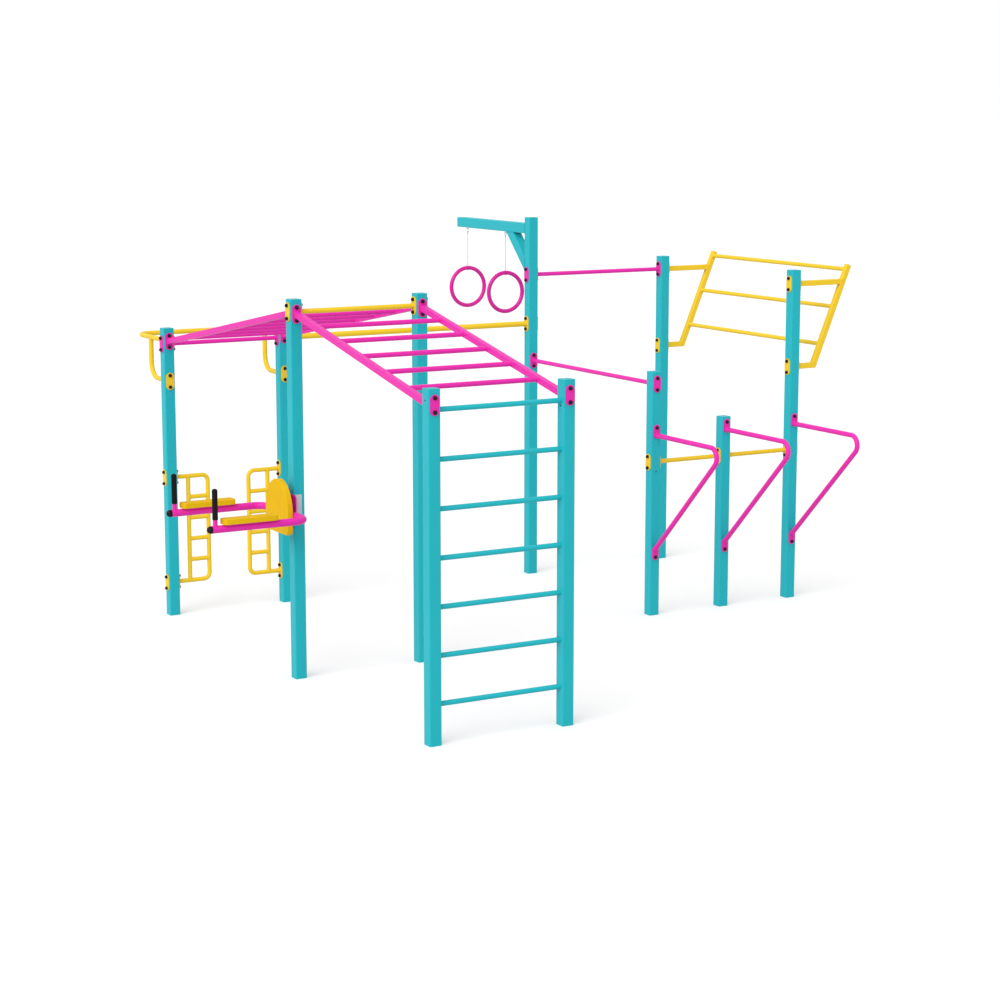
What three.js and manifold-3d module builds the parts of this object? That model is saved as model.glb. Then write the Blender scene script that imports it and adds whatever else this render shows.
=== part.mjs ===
// Outdoor fitness station: eleven square steel posts that carry two overhead ladders, a wall ladder,
// pull-up bars, an inclined ladder, dip bars, a knee-raise seat and a pair of hanging rings.
// Millimetres, +Z up. X runs along the wall rungs and Y runs from the wall towards the ring arm.
import * as THREE from 'three';
import { mergeVertices } from 'three/addons/utils/BufferGeometryUtils.js';
import Module from 'manifold-3d';

const wasm = await Module();
wasm.setup();

// Fits
const GAP = 0.3;
const BITE = 1;
const OVERRUN = 5;
const WELD_GRID = 1e-4;

// Posts
const POST_SIDE = 80;
const POST_CORNER = 8;
const POST_WALL = 3;
const POST_CAP = 4;
const LOW_POST_H = 2117;
const BRIDGE_RISE = 373;
const RING_RISE = 343;
const SHORT_DIP_POST_H = 1433;
const TALL_DIP_RISE = 369;

// Layout of the posts
const BAY_WIDTH = 910;
const FRONT_BAY = 1860;
const REAR_BAY = 2187;
const RING_BAY = 2148;
const DIP_PITCH = 620;
const DIP_SETBACK = 1754;

// Tubes
const RUNG_R = 16;
const BAR_R = 16;
const PULLUP_R = 21;
const MIDDLE_BAR_R = 16.5;
const BENT_R = 18;
const TUBE_WALL = 2.5;
const BEAM_SIDE = 40;
const BEAM_WALL = 2.5;
const ROUND_SIDES = 8;
const BORE_SIDES = 5;
const BEND_STEPS = 3;

// Bolted plates
const PLATE_W = 62;
const PLATE_H = 124;
const PLATE_T = 6;
const BOLT_PITCH = 84;
const BOLT_R = 5;
const BOLT_CLEAR = 0.6;
const DOME_R = 13;
const DOME_H = 20;
const DOME_STRAIGHT_SHARE = 0.5;
const DOME_SHOULDER_SHARE = 0.71;
const DOME_SIDES = 6;
const BOLT_SIDES = 5;

// Wall ladder
const WALL_RUNGS = 7;
const WALL_RUNG_FIRST_Z = 244;
const WALL_RUNG_TOP_MARGIN = 126;
const SOCKET_DEPTH = 20;
const VENT_R = 4;
const VENT_LEFT_DROP = 69;
const VENT_RIGHT_DROP = 151;
const VENT_DIP_DROP = 731;

// Overhead ladders
const LADDER_TOP_DROP = 94;
const LADDER_RUNG_PITCH = 306;

// Bars between posts
const CROSSING_CLEAR = 2;
const REAR_BAR_DROP = 115;
const HIGH_BAR_DROP = 104;
const SIDE_BAR_DROP = 89;
const LOW_BAR_Z = 1138;

// Offset pull-up bar behind the rear posts
const OFFSET_REACH = 585;
const OFFSET_BRACE_Y = 313;
const OFFSET_BRACE_DROP = 290;
const OFFSET_BEND = 110;

// Ring arm
const ARM_SIDE = 79;
const ARM_REACH = 1131;
const ARM_DROP = 48;
const ARM_END_TO_RING = 108;
const INNER_RING_SHARE = 0.356;
const BRACE_TO_RING = 69;

// Ring hangers
const STAPLE_WIRE = 6;
const STAPLE_W = 26;
const STAPLE_H = 20;
const STAPLE_ROUND = 1.5;
const LINK_WIRE = 5;
const LINK_ROUND = 1.2;
const LINK_INSIDE_W = 14;
const LINK_INSIDE_H = 22;
const LINK_CORNER = 4;
const HANGER_CLEAR = 0.4;
const SLING_ROPE = 4;
const RING_DROP = 331.5;
const RING_R = 154;
const RING_TUBE_R = 16.5;
const RING_SECTION_SIDES = 8;
const RING_STEPS = 28;
const BELT_SEGMENTS = 6;

// Inclined ladder
const INCLINE_LOW_DROP = 724;
const INCLINE_ELBOW_X = 194;
const INCLINE_TILT_DEG = 22.7;
const INCLINE_RAIL_L = 806;
const INCLINE_RUNGS = 3;
const INCLINE_RUNG_PITCH = 300;
const INCLINE_TOP_MARGIN = 36;

// Dip bars
const DIP_BOLT_DROP = 39;
const DIP_BOLT_TO_TUBE = 57;
const DIP_RISE = 843;
const DIP_ANGLE_DEG = 44.36;
const DIP_BEND = 70;
const DIP_PLATE_W = 55;
const DIP_PLATE_H = 102;

// Side ladders on the rear posts
const SIDE_LADDER_LOW_Z = 243;
const SIDE_LADDER_PITCH = 155.8;
const SIDE_LADDER_RUNGS = 4;
const SIDE_LADDER_OUT = 252;
const SIDE_LADDER_IN = 98;
const SIDE_LADDER_BEND = 45;

// Knee-raise seat
const KNEE_Z = 1110;
const KNEE_ARM_SPACING = 670;
const KNEE_ARM_END = 735;
const KNEE_TUBE_R = 24;
const KNEE_BEND = 90;
const KNEE_WELD = 3;
const KNEE_PLATE_W = 176;
const KNEE_PLATE_H = 200;
const KNEE_PLATE_T = 8;
const KNEE_PLATE_RISE = 20;
const KNEE_PLATE_CORNER = 25;
const KNEE_NUT_PLATE_W = 60;
const KNEE_NUT_PLATE_H = 190;
const KNEE_NUT_PLATE_T = 6;
const KNEE_NUT_PLATE_CORNER = 8;
const KNEE_STANDOFF = 10;
const KNEE_RIB_H = 130;
const KNEE_RIB_T = 8;
const KNEE_RIB_SPACING = 110;
const KNEE_HEAD_H = 10;
const KNEE_BOLT_SPACING = 40;
const KNEE_BOLT_PITCH = 148;
const KNEE_BOLT_RISE = 26;
const PAD_PLATE_W = 190;
const PAD_PLATE_H = 240;
const PAD_PLATE_T = 5;
const PAD_RISE = 51;
const BACK_PAD_W = 340;
const BACK_PAD_H = 350;
const BACK_PAD_T = 40;
const BACK_PAD_ARCH_H = 200;
const BACK_PAD_CORNER = 35;
const BACK_PAD_ROUND = 6;
const ARCH_SEGMENTS = 12;
const PAD_STUD_R = 4;
const PAD_STUD_L = 20;
const PAD_STUD_SPACING = 120;
const ARM_PAD_L = 368;
const ARM_PAD_W = 90;
const ARM_PAD_T = 36;
const ARM_PAD_SETBACK = 69;
const ARM_PAD_CORNER = 20;
const ARM_PAD_ROUND = 6;
const ARM_STRIP_L = 320;
const ARM_STRIP_W = 60;
const ARM_STRIP_T = 4;
const GRIP_SETBACK = 23;
const STUB_R = 15;
const STUB_H = 62;
const GRIP_L = 196;
const GRIP_R = 18;
const GRIP_CORE_SHORT = 14;
const END_CAP_L = 33;
const END_CAP_COLLAR = 9;
const END_CAP_SPIGOT_L = 25;
const CAP_SEGMENTS = 4;

// Places that follow from the sizes
const FACE = POST_SIDE / 2;
const SEAT = FACE + GAP;
const PLATE_TOP = SEAT + PLATE_T;
const HEAD_SEAT = PLATE_TOP + GAP;
const BRIDGE_POST_H = LOW_POST_H + BRIDGE_RISE;
const RING_POST_H = BRIDGE_POST_H + RING_RISE;
const TALL_DIP_POST_H = SHORT_DIP_POST_H + TALL_DIP_RISE;
const LADDER_HIGH_Z = BRIDGE_POST_H - LADDER_TOP_DROP;
const LADDER_LOW_Z = LOW_POST_H - LADDER_TOP_DROP;
const OUTER_RING_Y = ARM_REACH - ARM_END_TO_RING;
const INNER_RING_Y = ARM_REACH * INNER_RING_SHARE;
const BRACE_RISE = INNER_RING_Y - FACE - BRACE_TO_RING;
const MIDDLE_BAR_Z = LADDER_HIGH_Z + BOLT_R + BOLT_R + CROSSING_CLEAR;
const REAR_BAR_Z = LOW_POST_H - REAR_BAR_DROP;
const HIGH_BAR_Z = BRIDGE_POST_H - HIGH_BAR_DROP;
const SIDE_BAR_Z = TALL_DIP_POST_H - SIDE_BAR_DROP;
const INCLINE_LOW_Z = BRIDGE_POST_H - INCLINE_LOW_DROP;
const OFFSET_LOW_Z = LADDER_LOW_Z - OFFSET_BRACE_DROP;
const SIDE_LADDER_H = SIDE_LADDER_PITCH * (SIDE_LADDER_RUNGS + 1);
const SIDE_LADDER_TOP_Z = SIDE_LADDER_LOW_Z + SIDE_LADDER_H;
const DIP_BOLT_Z = SHORT_DIP_POST_H - DIP_BOLT_DROP;
const DIP_TOP_Z = DIP_BOLT_Z - DIP_BOLT_TO_TUBE;
const DIP_FOOT_Z = DIP_TOP_Z - DIP_RISE;
const DIP_FOOT_BOLT_Z = DIP_FOOT_Z - DIP_BOLT_TO_TUBE;

// Colours and finishes
const finish = (color, roughness, metalness) => (
  new THREE.MeshStandardMaterial({ color, roughness, metalness })
);
const TEAL = finish(0x2fb6c2, 0.45, 0.1);
const MAGENTA = finish(0xec3fae, 0.45, 0.1);
const YELLOW = finish(0xf2c42a, 0.45, 0.1);
const PAD_YELLOW = finish(0xe8b800, 0.7, 0);
const BLACK = finish(0x17171a, 0.6, 0);
const STEEL = finish(0xd9dadb, 0.35, 0.9);
const ROPE = finish(0xe9e9ea, 0.6, 0);

// Directions
const UP = new THREE.Vector3(0, 0, 1);
const AXIS = {
  '+x': new THREE.Vector3(1, 0, 0),
  '-x': new THREE.Vector3(-1, 0, 0),
  '+y': new THREE.Vector3(0, 1, 0),
  '-y': new THREE.Vector3(0, -1, 0),
};
const HALF_TURN = Math.PI;
const QUARTER_TURN = Math.PI / 2;

// Solids from geometries, and back
function solidOf(geometry, matrix = new THREE.Matrix4()) {
  const plain = geometry.index ? geometry.toNonIndexed() : geometry.clone();
  const bare = new THREE.BufferGeometry().setAttribute('position', plain.getAttribute('position'));
  const merged = mergeVertices(bare.applyMatrix4(matrix), WELD_GRID);
  return new wasm.Manifold(new wasm.Mesh({
    numProp: 3,
    vertProperties: merged.getAttribute('position').array,
    triVerts: new Uint32Array(merged.index.array),
  }));
}

function geometryOf(solid) {
  const mesh = solid.getMesh();
  const geometry = new THREE.BufferGeometry();
  geometry.setAttribute('position', new THREE.BufferAttribute(Float32Array.from(mesh.vertProperties), 3));
  geometry.setIndex(new THREE.BufferAttribute(mesh.triVerts, 1));
  geometry.computeVertexNormals();
  return geometry;
}

const join = (...solids) => solids.flat().reduce((all, one) => all.add(one));
const cut = (solid, ...tools) => tools.flat().reduce((left, tool) => left.subtract(tool), solid);
const vec = (x, y, z) => new THREE.Vector3(x, y, z);

// Matrix whose local x, y and z run along the plate, up, and out of the face.
function facing(out, origin) {
  const across = new THREE.Vector3().crossVectors(UP, out);
  return new THREE.Matrix4().makeBasis(across, UP, out).setPosition(origin);
}

// Matrix that stands a shape drawn in x and y up in the plane of X and Z, or of Y and Z.
const inPlaneXZ = (x, y, z) => new THREE.Matrix4().makeBasis(AXIS['+x'], UP, AXIS['-y']).setPosition(x, y, z);
const inPlaneYZ = (x, y, z) => new THREE.Matrix4().makeBasis(AXIS['+y'], UP, AXIS['+x']).setPosition(x, y, z);

// A round rod between two points.
function rod(from, to, radius, sides = ROUND_SIDES) {
  const along = new THREE.Vector3().subVectors(to, from);
  const turn = new THREE.Quaternion().setFromUnitVectors(AXIS['+y'], along.clone().normalize());
  const middle = new THREE.Vector3().addVectors(from, to).multiplyScalar(0.5);
  const matrix = new THREE.Matrix4().compose(middle, turn, vec(1, 1, 1));
  return solidOf(new THREE.CylinderGeometry(radius, radius, along.length(), sides), matrix);
}

// A box from its two corners.
function block(low, high) {
  const size = new THREE.Vector3().subVectors(high, low);
  const middle = new THREE.Vector3().addVectors(low, high).multiplyScalar(0.5);
  return solidOf(new THREE.BoxGeometry(size.x, size.y, size.z), new THREE.Matrix4().setPosition(middle));
}

const prism = (shape, depth, matrix) => solidOf(
  new THREE.ExtrudeGeometry(shape, { depth, bevelEnabled: false, curveSegments: 1 }),
  matrix,
);

// A shape pushed out of its plane with its edges softened. Its outline keeps the drawn size.
const softPrism = (shape, depth, round, matrix) => solidOf(new THREE.ExtrudeGeometry(shape, {
  depth: depth - 2 * round,
  bevelEnabled: true,
  bevelSize: round,
  bevelOffset: -round,
  bevelThickness: round,
  bevelSegments: 1,
  curveSegments: 1,
}), matrix.clone().multiply(new THREE.Matrix4().makeTranslation(0, 0, round)));

// Rectangle with rounded corners, centred on the origin.
function roundedShape(width, height, corner) {
  const shape = new THREE.Shape();
  const x = width / 2 - corner;
  const y = height / 2 - corner;
  shape.absarc(x, y, corner, 0, QUARTER_TURN);
  shape.absarc(-x, y, corner, QUARTER_TURN, HALF_TURN);
  shape.absarc(-x, -y, corner, HALF_TURN, HALF_TURN + QUARTER_TURN);
  shape.absarc(x, -y, corner, HALF_TURN + QUARTER_TURN, HALF_TURN + HALF_TURN);
  shape.closePath();
  return shape;
}

const squareShape = (side) => new THREE.Shape([
  new THREE.Vector2(-side / 2, -side / 2),
  new THREE.Vector2(side / 2, -side / 2),
  new THREE.Vector2(side / 2, side / 2),
  new THREE.Vector2(-side / 2, side / 2),
]);

// A section pushed along a line in the plane of Y and Z.
function sectionBar(from, to, section) {
  const along = new THREE.Vector3().subVectors(to, from);
  const out = along.clone().normalize();
  const lift = new THREE.Vector3().crossVectors(out, AXIS['+x']);
  const matrix = new THREE.Matrix4().makeBasis(AXIS['+x'], lift, out).setPosition(from);
  return prism(section, along.length(), matrix);
}

// Path of straight runs and true arcs. Each station is a point with its own direction.
class BentPath extends THREE.Curve {
  constructor(corners, bend) {
    super();
    this.stations = [];
    const last = corners.length - 1;
    const heading = (a, b) => new THREE.Vector3().subVectors(b, a).normalize();
    this.stations.push({ point: corners[0], tangent: heading(corners[0], corners[1]) });
    for (let i = 1; i < last; i += 1) {
      const [before, at, after] = corners.slice(i - 1, i + 2);
      this.addArc(at, heading(before, at), heading(at, after), bend);
    }
    this.stations.push({ point: corners[last], tangent: heading(corners[last - 1], corners[last]) });
  }

  addArc(corner, before, after, bend) {
    const turn = before.angleTo(after);
    const reach = bend * Math.tan(turn / 2);
    const start = corner.clone().addScaledVector(before, -reach);
    const inward = after.clone().addScaledVector(before, -after.dot(before)).normalize();
    const steps = Math.max(2, Math.round(BEND_STEPS * turn / QUARTER_TURN));
    for (let i = 0; i <= steps; i += 1) {
      const angle = turn * i / steps;
      const point = start.clone()
        .addScaledVector(before, bend * Math.sin(angle))
        .addScaledVector(inward, bend * (1 - Math.cos(angle)));
      const tangent = before.clone().multiplyScalar(Math.cos(angle)).addScaledVector(inward, Math.sin(angle));
      this.stations.push({ point, tangent });
    }
  }

  get steps() { return this.stations.length - 1; }

  at(t) {
    const place = Math.min(Math.max(t, 0), 1) * this.steps;
    const index = Math.min(Math.floor(place + WELD_GRID), this.steps - 1);
    return { from: this.stations[index], to: this.stations[index + 1], share: place - index };
  }

  getPoint(t, target = new THREE.Vector3()) {
    const { from, to, share } = this.at(t);
    return target.lerpVectors(from.point, to.point, share);
  }

  getPointAt(u, target) { return this.getPoint(u, target); }

  getTangent(t, target = new THREE.Vector3()) {
    const { from, to, share } = this.at(t);
    return target.lerpVectors(from.tangent, to.tangent, share).normalize();
  }

  getTangentAt(u, target) { return this.getTangent(u, target); }
}

// A round tube bent along corners, as an outer or an inner solid.
function bentRod(corners, bend, radius, sides) {
  const path = new BentPath(corners, bend);
  const ring = Array.from({ length: sides }, (_, i) => {
    const angle = 2 * Math.PI * i / sides;
    return new THREE.Vector2(radius * Math.cos(angle), radius * Math.sin(angle));
  });
  return solidOf(new THREE.ExtrudeGeometry(new THREE.Shape(ring), { steps: path.steps, extrudePath: path }));
}

// Bolted plates. Each joint is drawn with the post's centre at the origin and z out of its face.
const boltPlaces = (pitch) => [pitch / 2, -pitch / 2];

function plateSolid(matrix, width = PLATE_W, height = PLATE_H) {
  const moved = matrix.clone().multiply(new THREE.Matrix4().makeTranslation(0, 0, SEAT));
  return prism(roundedShape(width, height, width / 2), PLATE_T, moved);
}

function backPlateSolid(matrix) {
  const moved = matrix.clone().multiply(new THREE.Matrix4().makeTranslation(0, 0, -PLATE_TOP));
  return prism(roundedShape(PLATE_W, PLATE_H, PLATE_W / 2), PLATE_T, moved);
}

// Cap nut, drawn upwards from its flat underside: straight sides and then a dome.
function domeSolid(matrix, height) {
  const straight = height * DOME_STRAIGHT_SHARE;
  const profile = [
    new THREE.Vector2(0, 0),
    new THREE.Vector2(DOME_R, 0),
    new THREE.Vector2(DOME_R, straight),
    new THREE.Vector2(DOME_R * DOME_SHOULDER_SHARE, straight + (height - straight) * DOME_SHOULDER_SHARE),
    new THREE.Vector2(0, height),
  ];
  const upright = new THREE.Matrix4().makeRotationX(QUARTER_TURN);
  return solidOf(new THREE.LatheGeometry(profile, DOME_SIDES), matrix.clone().multiply(upright));
}

// Through bolts with a dome on each end: front and back are how far out the two domes sit.
function boltSolids(matrix, front, back, places, height = DOME_H) {
  return places.map((y) => {
    const nose = new THREE.Matrix4().makeTranslation(0, y, front);
    const tail = new THREE.Matrix4().makeTranslation(0, y, -back)
      .multiply(new THREE.Matrix4().makeRotationX(HALF_TURN));
    const shank = new THREE.CylinderGeometry(BOLT_R, BOLT_R, front + back + BITE + BITE, BOLT_SIDES);
    const middle = new THREE.Matrix4().makeTranslation(0, y, (front - back) / 2)
      .multiply(new THREE.Matrix4().makeRotationX(QUARTER_TURN));
    return join(
      domeSolid(matrix.clone().multiply(nose), height),
      domeSolid(matrix.clone().multiply(tail), height),
      solidOf(shank, matrix.clone().multiply(middle)),
    );
  });
}

// Holes for such bolts, right through a post unless back says where they end.
function boltHoleSolids(matrix, places, back = HEAD_SEAT + OVERRUN) {
  const front = HEAD_SEAT + OVERRUN;
  const length = front + back;
  return places.map((y) => {
    const middle = new THREE.Matrix4().makeTranslation(0, y, (front - back) / 2)
      .multiply(new THREE.Matrix4().makeRotationX(QUARTER_TURN));
    return solidOf(
      new THREE.CylinderGeometry(BOLT_R + BOLT_CLEAR, BOLT_R + BOLT_CLEAR, length, BOLT_SIDES),
      matrix.clone().multiply(middle),
    );
  });
}

// The ways that a bar's end plate is held.
const OWN_BASE = PLATE_TOP - BITE;
const END = {
  // The bolts belong to a separate back plate or to the bar on the other side.
  drilled: (matrix) => ({ add: [plateSolid(matrix)], holes: boltHoleSolids(matrix, boltPlaces(BOLT_PITCH)) }),
  // The bolts are this bar's own and clamp the plate of the bar on the other side.
  shared: (matrix) => ({
    add: [plateSolid(matrix), ...boltSolids(matrix, OWN_BASE, HEAD_SEAT, boltPlaces(BOLT_PITCH))],
    holes: [],
  }),
  // The bolts and the back plate are this bar's own.
  backed: (matrix) => ({
    add: [
      plateSolid(matrix),
      backPlateSolid(matrix),
      ...boltSolids(matrix, OWN_BASE, OWN_BASE, boltPlaces(BOLT_PITCH)),
    ],
    holes: [],
  }),
};

// Welds tubes and end plates into one frame. The bores are cut before the bolts go in.
function weldment(outers, bores, ends) {
  const tubes = cut(join(outers, ends.map((end) => end.add[0])), bores, ends.flatMap((end) => end.holes));
  return join(tubes, ends.flatMap((end) => end.add.slice(1)));
}

// Back plate with its two bolts, for a bar whose end plate is drilled.
const backPlateSet = (out, z) => {
  const matrix = facing(out, vec(0, 0, z));
  return join(backPlateSolid(matrix), boltSolids(matrix, HEAD_SEAT, OWN_BASE, boltPlaces(BOLT_PITCH)));
};

// Scene graph helpers
const station = new THREE.Group();

function group(x, y) {
  const made = new THREE.Group();
  made.position.set(x, y, 0);
  station.add(made);
  return made;
}

function addNode(parent, name, solid, material, position = vec(0, 0, 0), turn = 0) {
  const mesh = new THREE.Mesh(geometryOf(solid), material);
  mesh.name = name;
  mesh.position.copy(position);
  mesh.rotation.z = turn;
  parent.add(mesh);
  return mesh;
}

// Square post, open at the foot and closed by a cap, with its holes drilled.
const postOuter = (height) => prism(roundedShape(POST_SIDE, POST_SIDE, POST_CORNER), height);
const postInner = (height) => block(
  vec(POST_WALL - FACE, POST_WALL - FACE, -OVERRUN),
  vec(FACE - POST_WALL, FACE - POST_WALL, height - POST_CAP),
);
const jointHoles = (out, z, places = boltPlaces(BOLT_PITCH)) => (
  boltHoleSolids(facing(AXIS[out], vec(0, 0, z)), places)
);
const sideHole = (out, z, radius, sides) => rod(
  vec(0, 0, z),
  AXIS[out].clone().multiplyScalar(FACE + OVERRUN).setZ(z),
  radius,
  sides,
);
const post = (height, ...holes) => cut(postOuter(height), postInner(height), ...holes);

// Straight round bar with a plate on each end, running along +X from one post's centre line to the next.
function flangedBar(span, radius, startKind, endKind) {
  const ends = [
    END[startKind](facing(AXIS['+x'], vec(0, 0, 0))),
    END[endKind](facing(AXIS['-x'], vec(span, 0, 0))),
  ];
  const outer = rod(vec(SEAT, 0, 0), vec(span - SEAT, 0, 0), radius);
  const inside = radius - TUBE_WALL;
  const bore = rod(vec(SEAT - OVERRUN, 0, 0), vec(span - SEAT + OVERRUN, 0, 0), inside, BORE_SIDES);
  return weldment([outer], [bore], ends);
}

// Overhead ladder running along +Y from its high posts down to its low posts.
function overheadLadder(run, highKind, lowKind) {
  const drop = LADDER_HIGH_Z - LADDER_LOW_Z;
  const clear = run - 2 * SEAT;
  const heightAt = (y) => -drop * (y - SEAT) / clear;
  const slope = Math.atan2(drop, clear);
  const beam = (side, start, end, x) => {
    const half = side / 2 / Math.cos(slope);
    const outline = new THREE.Shape([
      new THREE.Vector2(start, heightAt(start) - half),
      new THREE.Vector2(end, heightAt(end) - half),
      new THREE.Vector2(end, heightAt(end) + half),
      new THREE.Vector2(start, heightAt(start) + half),
    ]);
    return prism(outline, side, inPlaneYZ(x - side / 2, 0, 0));
  };
  const count = Math.floor(clear / LADDER_RUNG_PITCH);
  const places = Array.from({ length: count }, (_, i) => run / 2 + (i - (count - 1) / 2) * LADDER_RUNG_PITCH);
  const inside = BEAM_SIDE - 2 * BEAM_WALL;
  const lines = [0, BAY_WIDTH];
  const outers = [
    ...lines.map((x) => beam(BEAM_SIDE, SEAT, run - SEAT, x)),
    ...places.map((y) => rod(vec(0, y, heightAt(y)), vec(BAY_WIDTH, y, heightAt(y)), RUNG_R)),
  ];
  const bores = [
    ...lines.map((x) => beam(inside, SEAT - OVERRUN, run - SEAT + OVERRUN, x)),
    ...places.map((y) => rod(
      vec(0, y, heightAt(y)),
      vec(BAY_WIDTH, y, heightAt(y)),
      RUNG_R - TUBE_WALL,
      BORE_SIDES,
    )),
  ];
  const ends = lines.flatMap((x) => [
    END[highKind](facing(AXIS['+y'], vec(x, 0, 0))),
    END[lowKind](facing(AXIS['-y'], vec(x, run, -drop))),
  ]);
  return weldment(outers, bores, ends);
}

// Wall ladder: two posts with seven rungs plugged into bored sockets.
const wall = group(0, 0);
const wallPitch = (LOW_POST_H - WALL_RUNG_TOP_MARGIN - WALL_RUNG_FIRST_Z) / (WALL_RUNGS - 1);
const wallRungHeights = Array.from({ length: WALL_RUNGS }, (_, i) => WALL_RUNG_FIRST_Z + i * wallPitch);
const sockets = (out) => wallRungHeights.map((z) => sideHole(out, z, RUNG_R + GAP, ROUND_SIDES));
addNode(wall, 'post_wall_left', post(
  LOW_POST_H,
  jointHoles('+y', LADDER_LOW_Z),
  sockets('+x'),
  sideHole('-x', LOW_POST_H - VENT_LEFT_DROP, VENT_R, BORE_SIDES),
), TEAL);
addNode(wall, 'post_wall_right', post(
  LOW_POST_H,
  jointHoles('+y', LADDER_LOW_Z),
  sockets('-x'),
  sideHole('-x', LOW_POST_H - VENT_RIGHT_DROP, VENT_R, BORE_SIDES),
), TEAL, vec(BAY_WIDTH, 0, 0));
wallRungHeights.forEach((z, i) => {
  const inset = FACE - SOCKET_DEPTH;
  const outer = rod(vec(inset, 0, 0), vec(BAY_WIDTH - inset, 0, 0), RUNG_R);
  const bore = rod(
    vec(inset - OVERRUN, 0, 0),
    vec(BAY_WIDTH - inset + OVERRUN, 0, 0),
    RUNG_R - TUBE_WALL,
    BORE_SIDES,
  );
  addNode(wall, `wall_rung_${i + 1}`, cut(outer, bore), TEAL, vec(0, 0, z));
});
['left', 'right'].forEach((side, i) => {
  const plates = backPlateSet(AXIS['+y'], LADDER_LOW_Z);
  addNode(wall, `backplate_wall_${side}`, plates, MAGENTA, vec(i * BAY_WIDTH, 0, 0));
});

// Bridge posts with both overhead ladders and the middle pull-up bar.
const bridge = group(0, FRONT_BAY);
const bridgeHoles = () => [...jointHoles('+y', LADDER_HIGH_Z), ...jointHoles('+x', MIDDLE_BAR_Z)];
const kneeBoltPlaces = [-1, 1].flatMap((side) => [-1, 1].map((level) => ({
  y: side * KNEE_BOLT_SPACING / 2,
  z: KNEE_Z + KNEE_BOLT_RISE + level * KNEE_BOLT_PITCH / 2,
})));
const kneePlateFront = SEAT + KNEE_PLATE_T;
const kneeBoltHoles = () => kneeBoltPlaces.flatMap(({ y, z }) => (
  boltHoleSolids(facing(AXIS['-x'], vec(0, y, z)), [0], 0)
));
const leftBridgePost = post(BRIDGE_POST_H, ...bridgeHoles(), ...kneeBoltHoles());
addNode(bridge, 'post_bridge_left', leftBridgePost, TEAL);
addNode(bridge, 'post_bridge_right', post(BRIDGE_POST_H, ...bridgeHoles()), TEAL, vec(BAY_WIDTH, 0, 0));
addNode(
  bridge,
  'ladder_front',
  overheadLadder(FRONT_BAY, 'drilled', 'drilled'),
  MAGENTA,
  vec(BAY_WIDTH, 0, LADDER_HIGH_Z),
  HALF_TURN,
);
const rearLadder = overheadLadder(REAR_BAY, 'shared', 'drilled');
addNode(bridge, 'ladder_rear', rearLadder, MAGENTA, vec(0, 0, LADDER_HIGH_Z));
const middleBar = flangedBar(BAY_WIDTH, MIDDLE_BAR_R, 'drilled', 'backed');
addNode(bridge, 'pullup_bar_middle', middleBar, YELLOW, vec(0, 0, MIDDLE_BAR_Z));
addNode(bridge, 'backplate_pullup_middle', backPlateSet(AXIS['+x'], MIDDLE_BAR_Z), YELLOW);

// Rear posts with the cross bar, the offset bar and the side ladders.
const rear = group(0, FRONT_BAY + REAR_BAY);
const rearHoles = () => [
  ...jointHoles('+y', LADDER_LOW_Z),
  ...jointHoles('+y', OFFSET_LOW_Z),
  ...jointHoles('+x', REAR_BAR_Z),
  ...jointHoles('+x', SIDE_LADDER_TOP_Z),
  ...jointHoles('+x', SIDE_LADDER_LOW_Z),
];
addNode(rear, 'post_rear_left', post(LOW_POST_H, ...rearHoles()), TEAL);
addNode(rear, 'post_rear_right', post(LOW_POST_H, ...rearHoles()), TEAL, vec(BAY_WIDTH, 0, 0));
const crossBar = flangedBar(BAY_WIDTH, BAR_R, 'drilled', 'shared');
addNode(rear, 'cross_bar_rear', crossBar, MAGENTA, vec(0, 0, REAR_BAR_Z));
addNode(rear, 'backplate_cross_bar', backPlateSet(AXIS['+x'], REAR_BAR_Z), MAGENTA);
addNode(
  rear,
  'pullup_bar_rear',
  flangedBar(RING_BAY, PULLUP_R, 'drilled', 'backed'),
  YELLOW,
  vec(BAY_WIDTH, 0, REAR_BAR_Z),
);

// Offset bar: a U of tube behind the posts with a bent brace under each arm.
function offsetBar() {
  const main = (start, radius, sides) => bentRod([
    vec(0, start, 0),
    vec(0, OFFSET_REACH, 0),
    vec(BAY_WIDTH, OFFSET_REACH, 0),
    vec(BAY_WIDTH, start, 0),
  ], OFFSET_BEND, radius, sides);
  const brace = (x, start, radius, sides) => bentRod([
    vec(x, OFFSET_BRACE_Y, 0),
    vec(x, OFFSET_BRACE_Y, -OFFSET_BRACE_DROP),
    vec(x, start, -OFFSET_BRACE_DROP),
  ], OFFSET_BEND, radius, sides);
  const lines = [0, BAY_WIDTH];
  const bore = BENT_R - TUBE_WALL;
  return weldment(
    [main(SEAT, BENT_R, ROUND_SIDES), ...lines.map((x) => brace(x, SEAT, BENT_R, ROUND_SIDES))],
    [main(SEAT - OVERRUN, bore, BORE_SIDES), ...lines.map((x) => brace(x, SEAT - OVERRUN, bore, BORE_SIDES))],
    lines.flatMap((x) => [
      END.shared(facing(AXIS['+y'], vec(x, 0, 0))),
      END.drilled(facing(AXIS['+y'], vec(x, 0, -OFFSET_BRACE_DROP))),
    ]),
  );
}
addNode(rear, 'offset_pullup_bar', offsetBar(), YELLOW, vec(0, 0, LADDER_LOW_Z));
['left', 'right'].forEach((side, i) => {
  const plates = backPlateSet(AXIS['+y'], OFFSET_LOW_Z);
  addNode(rear, `backplate_offset_${side}`, plates, YELLOW, vec(i * BAY_WIDTH, 0, 0));
});

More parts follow.
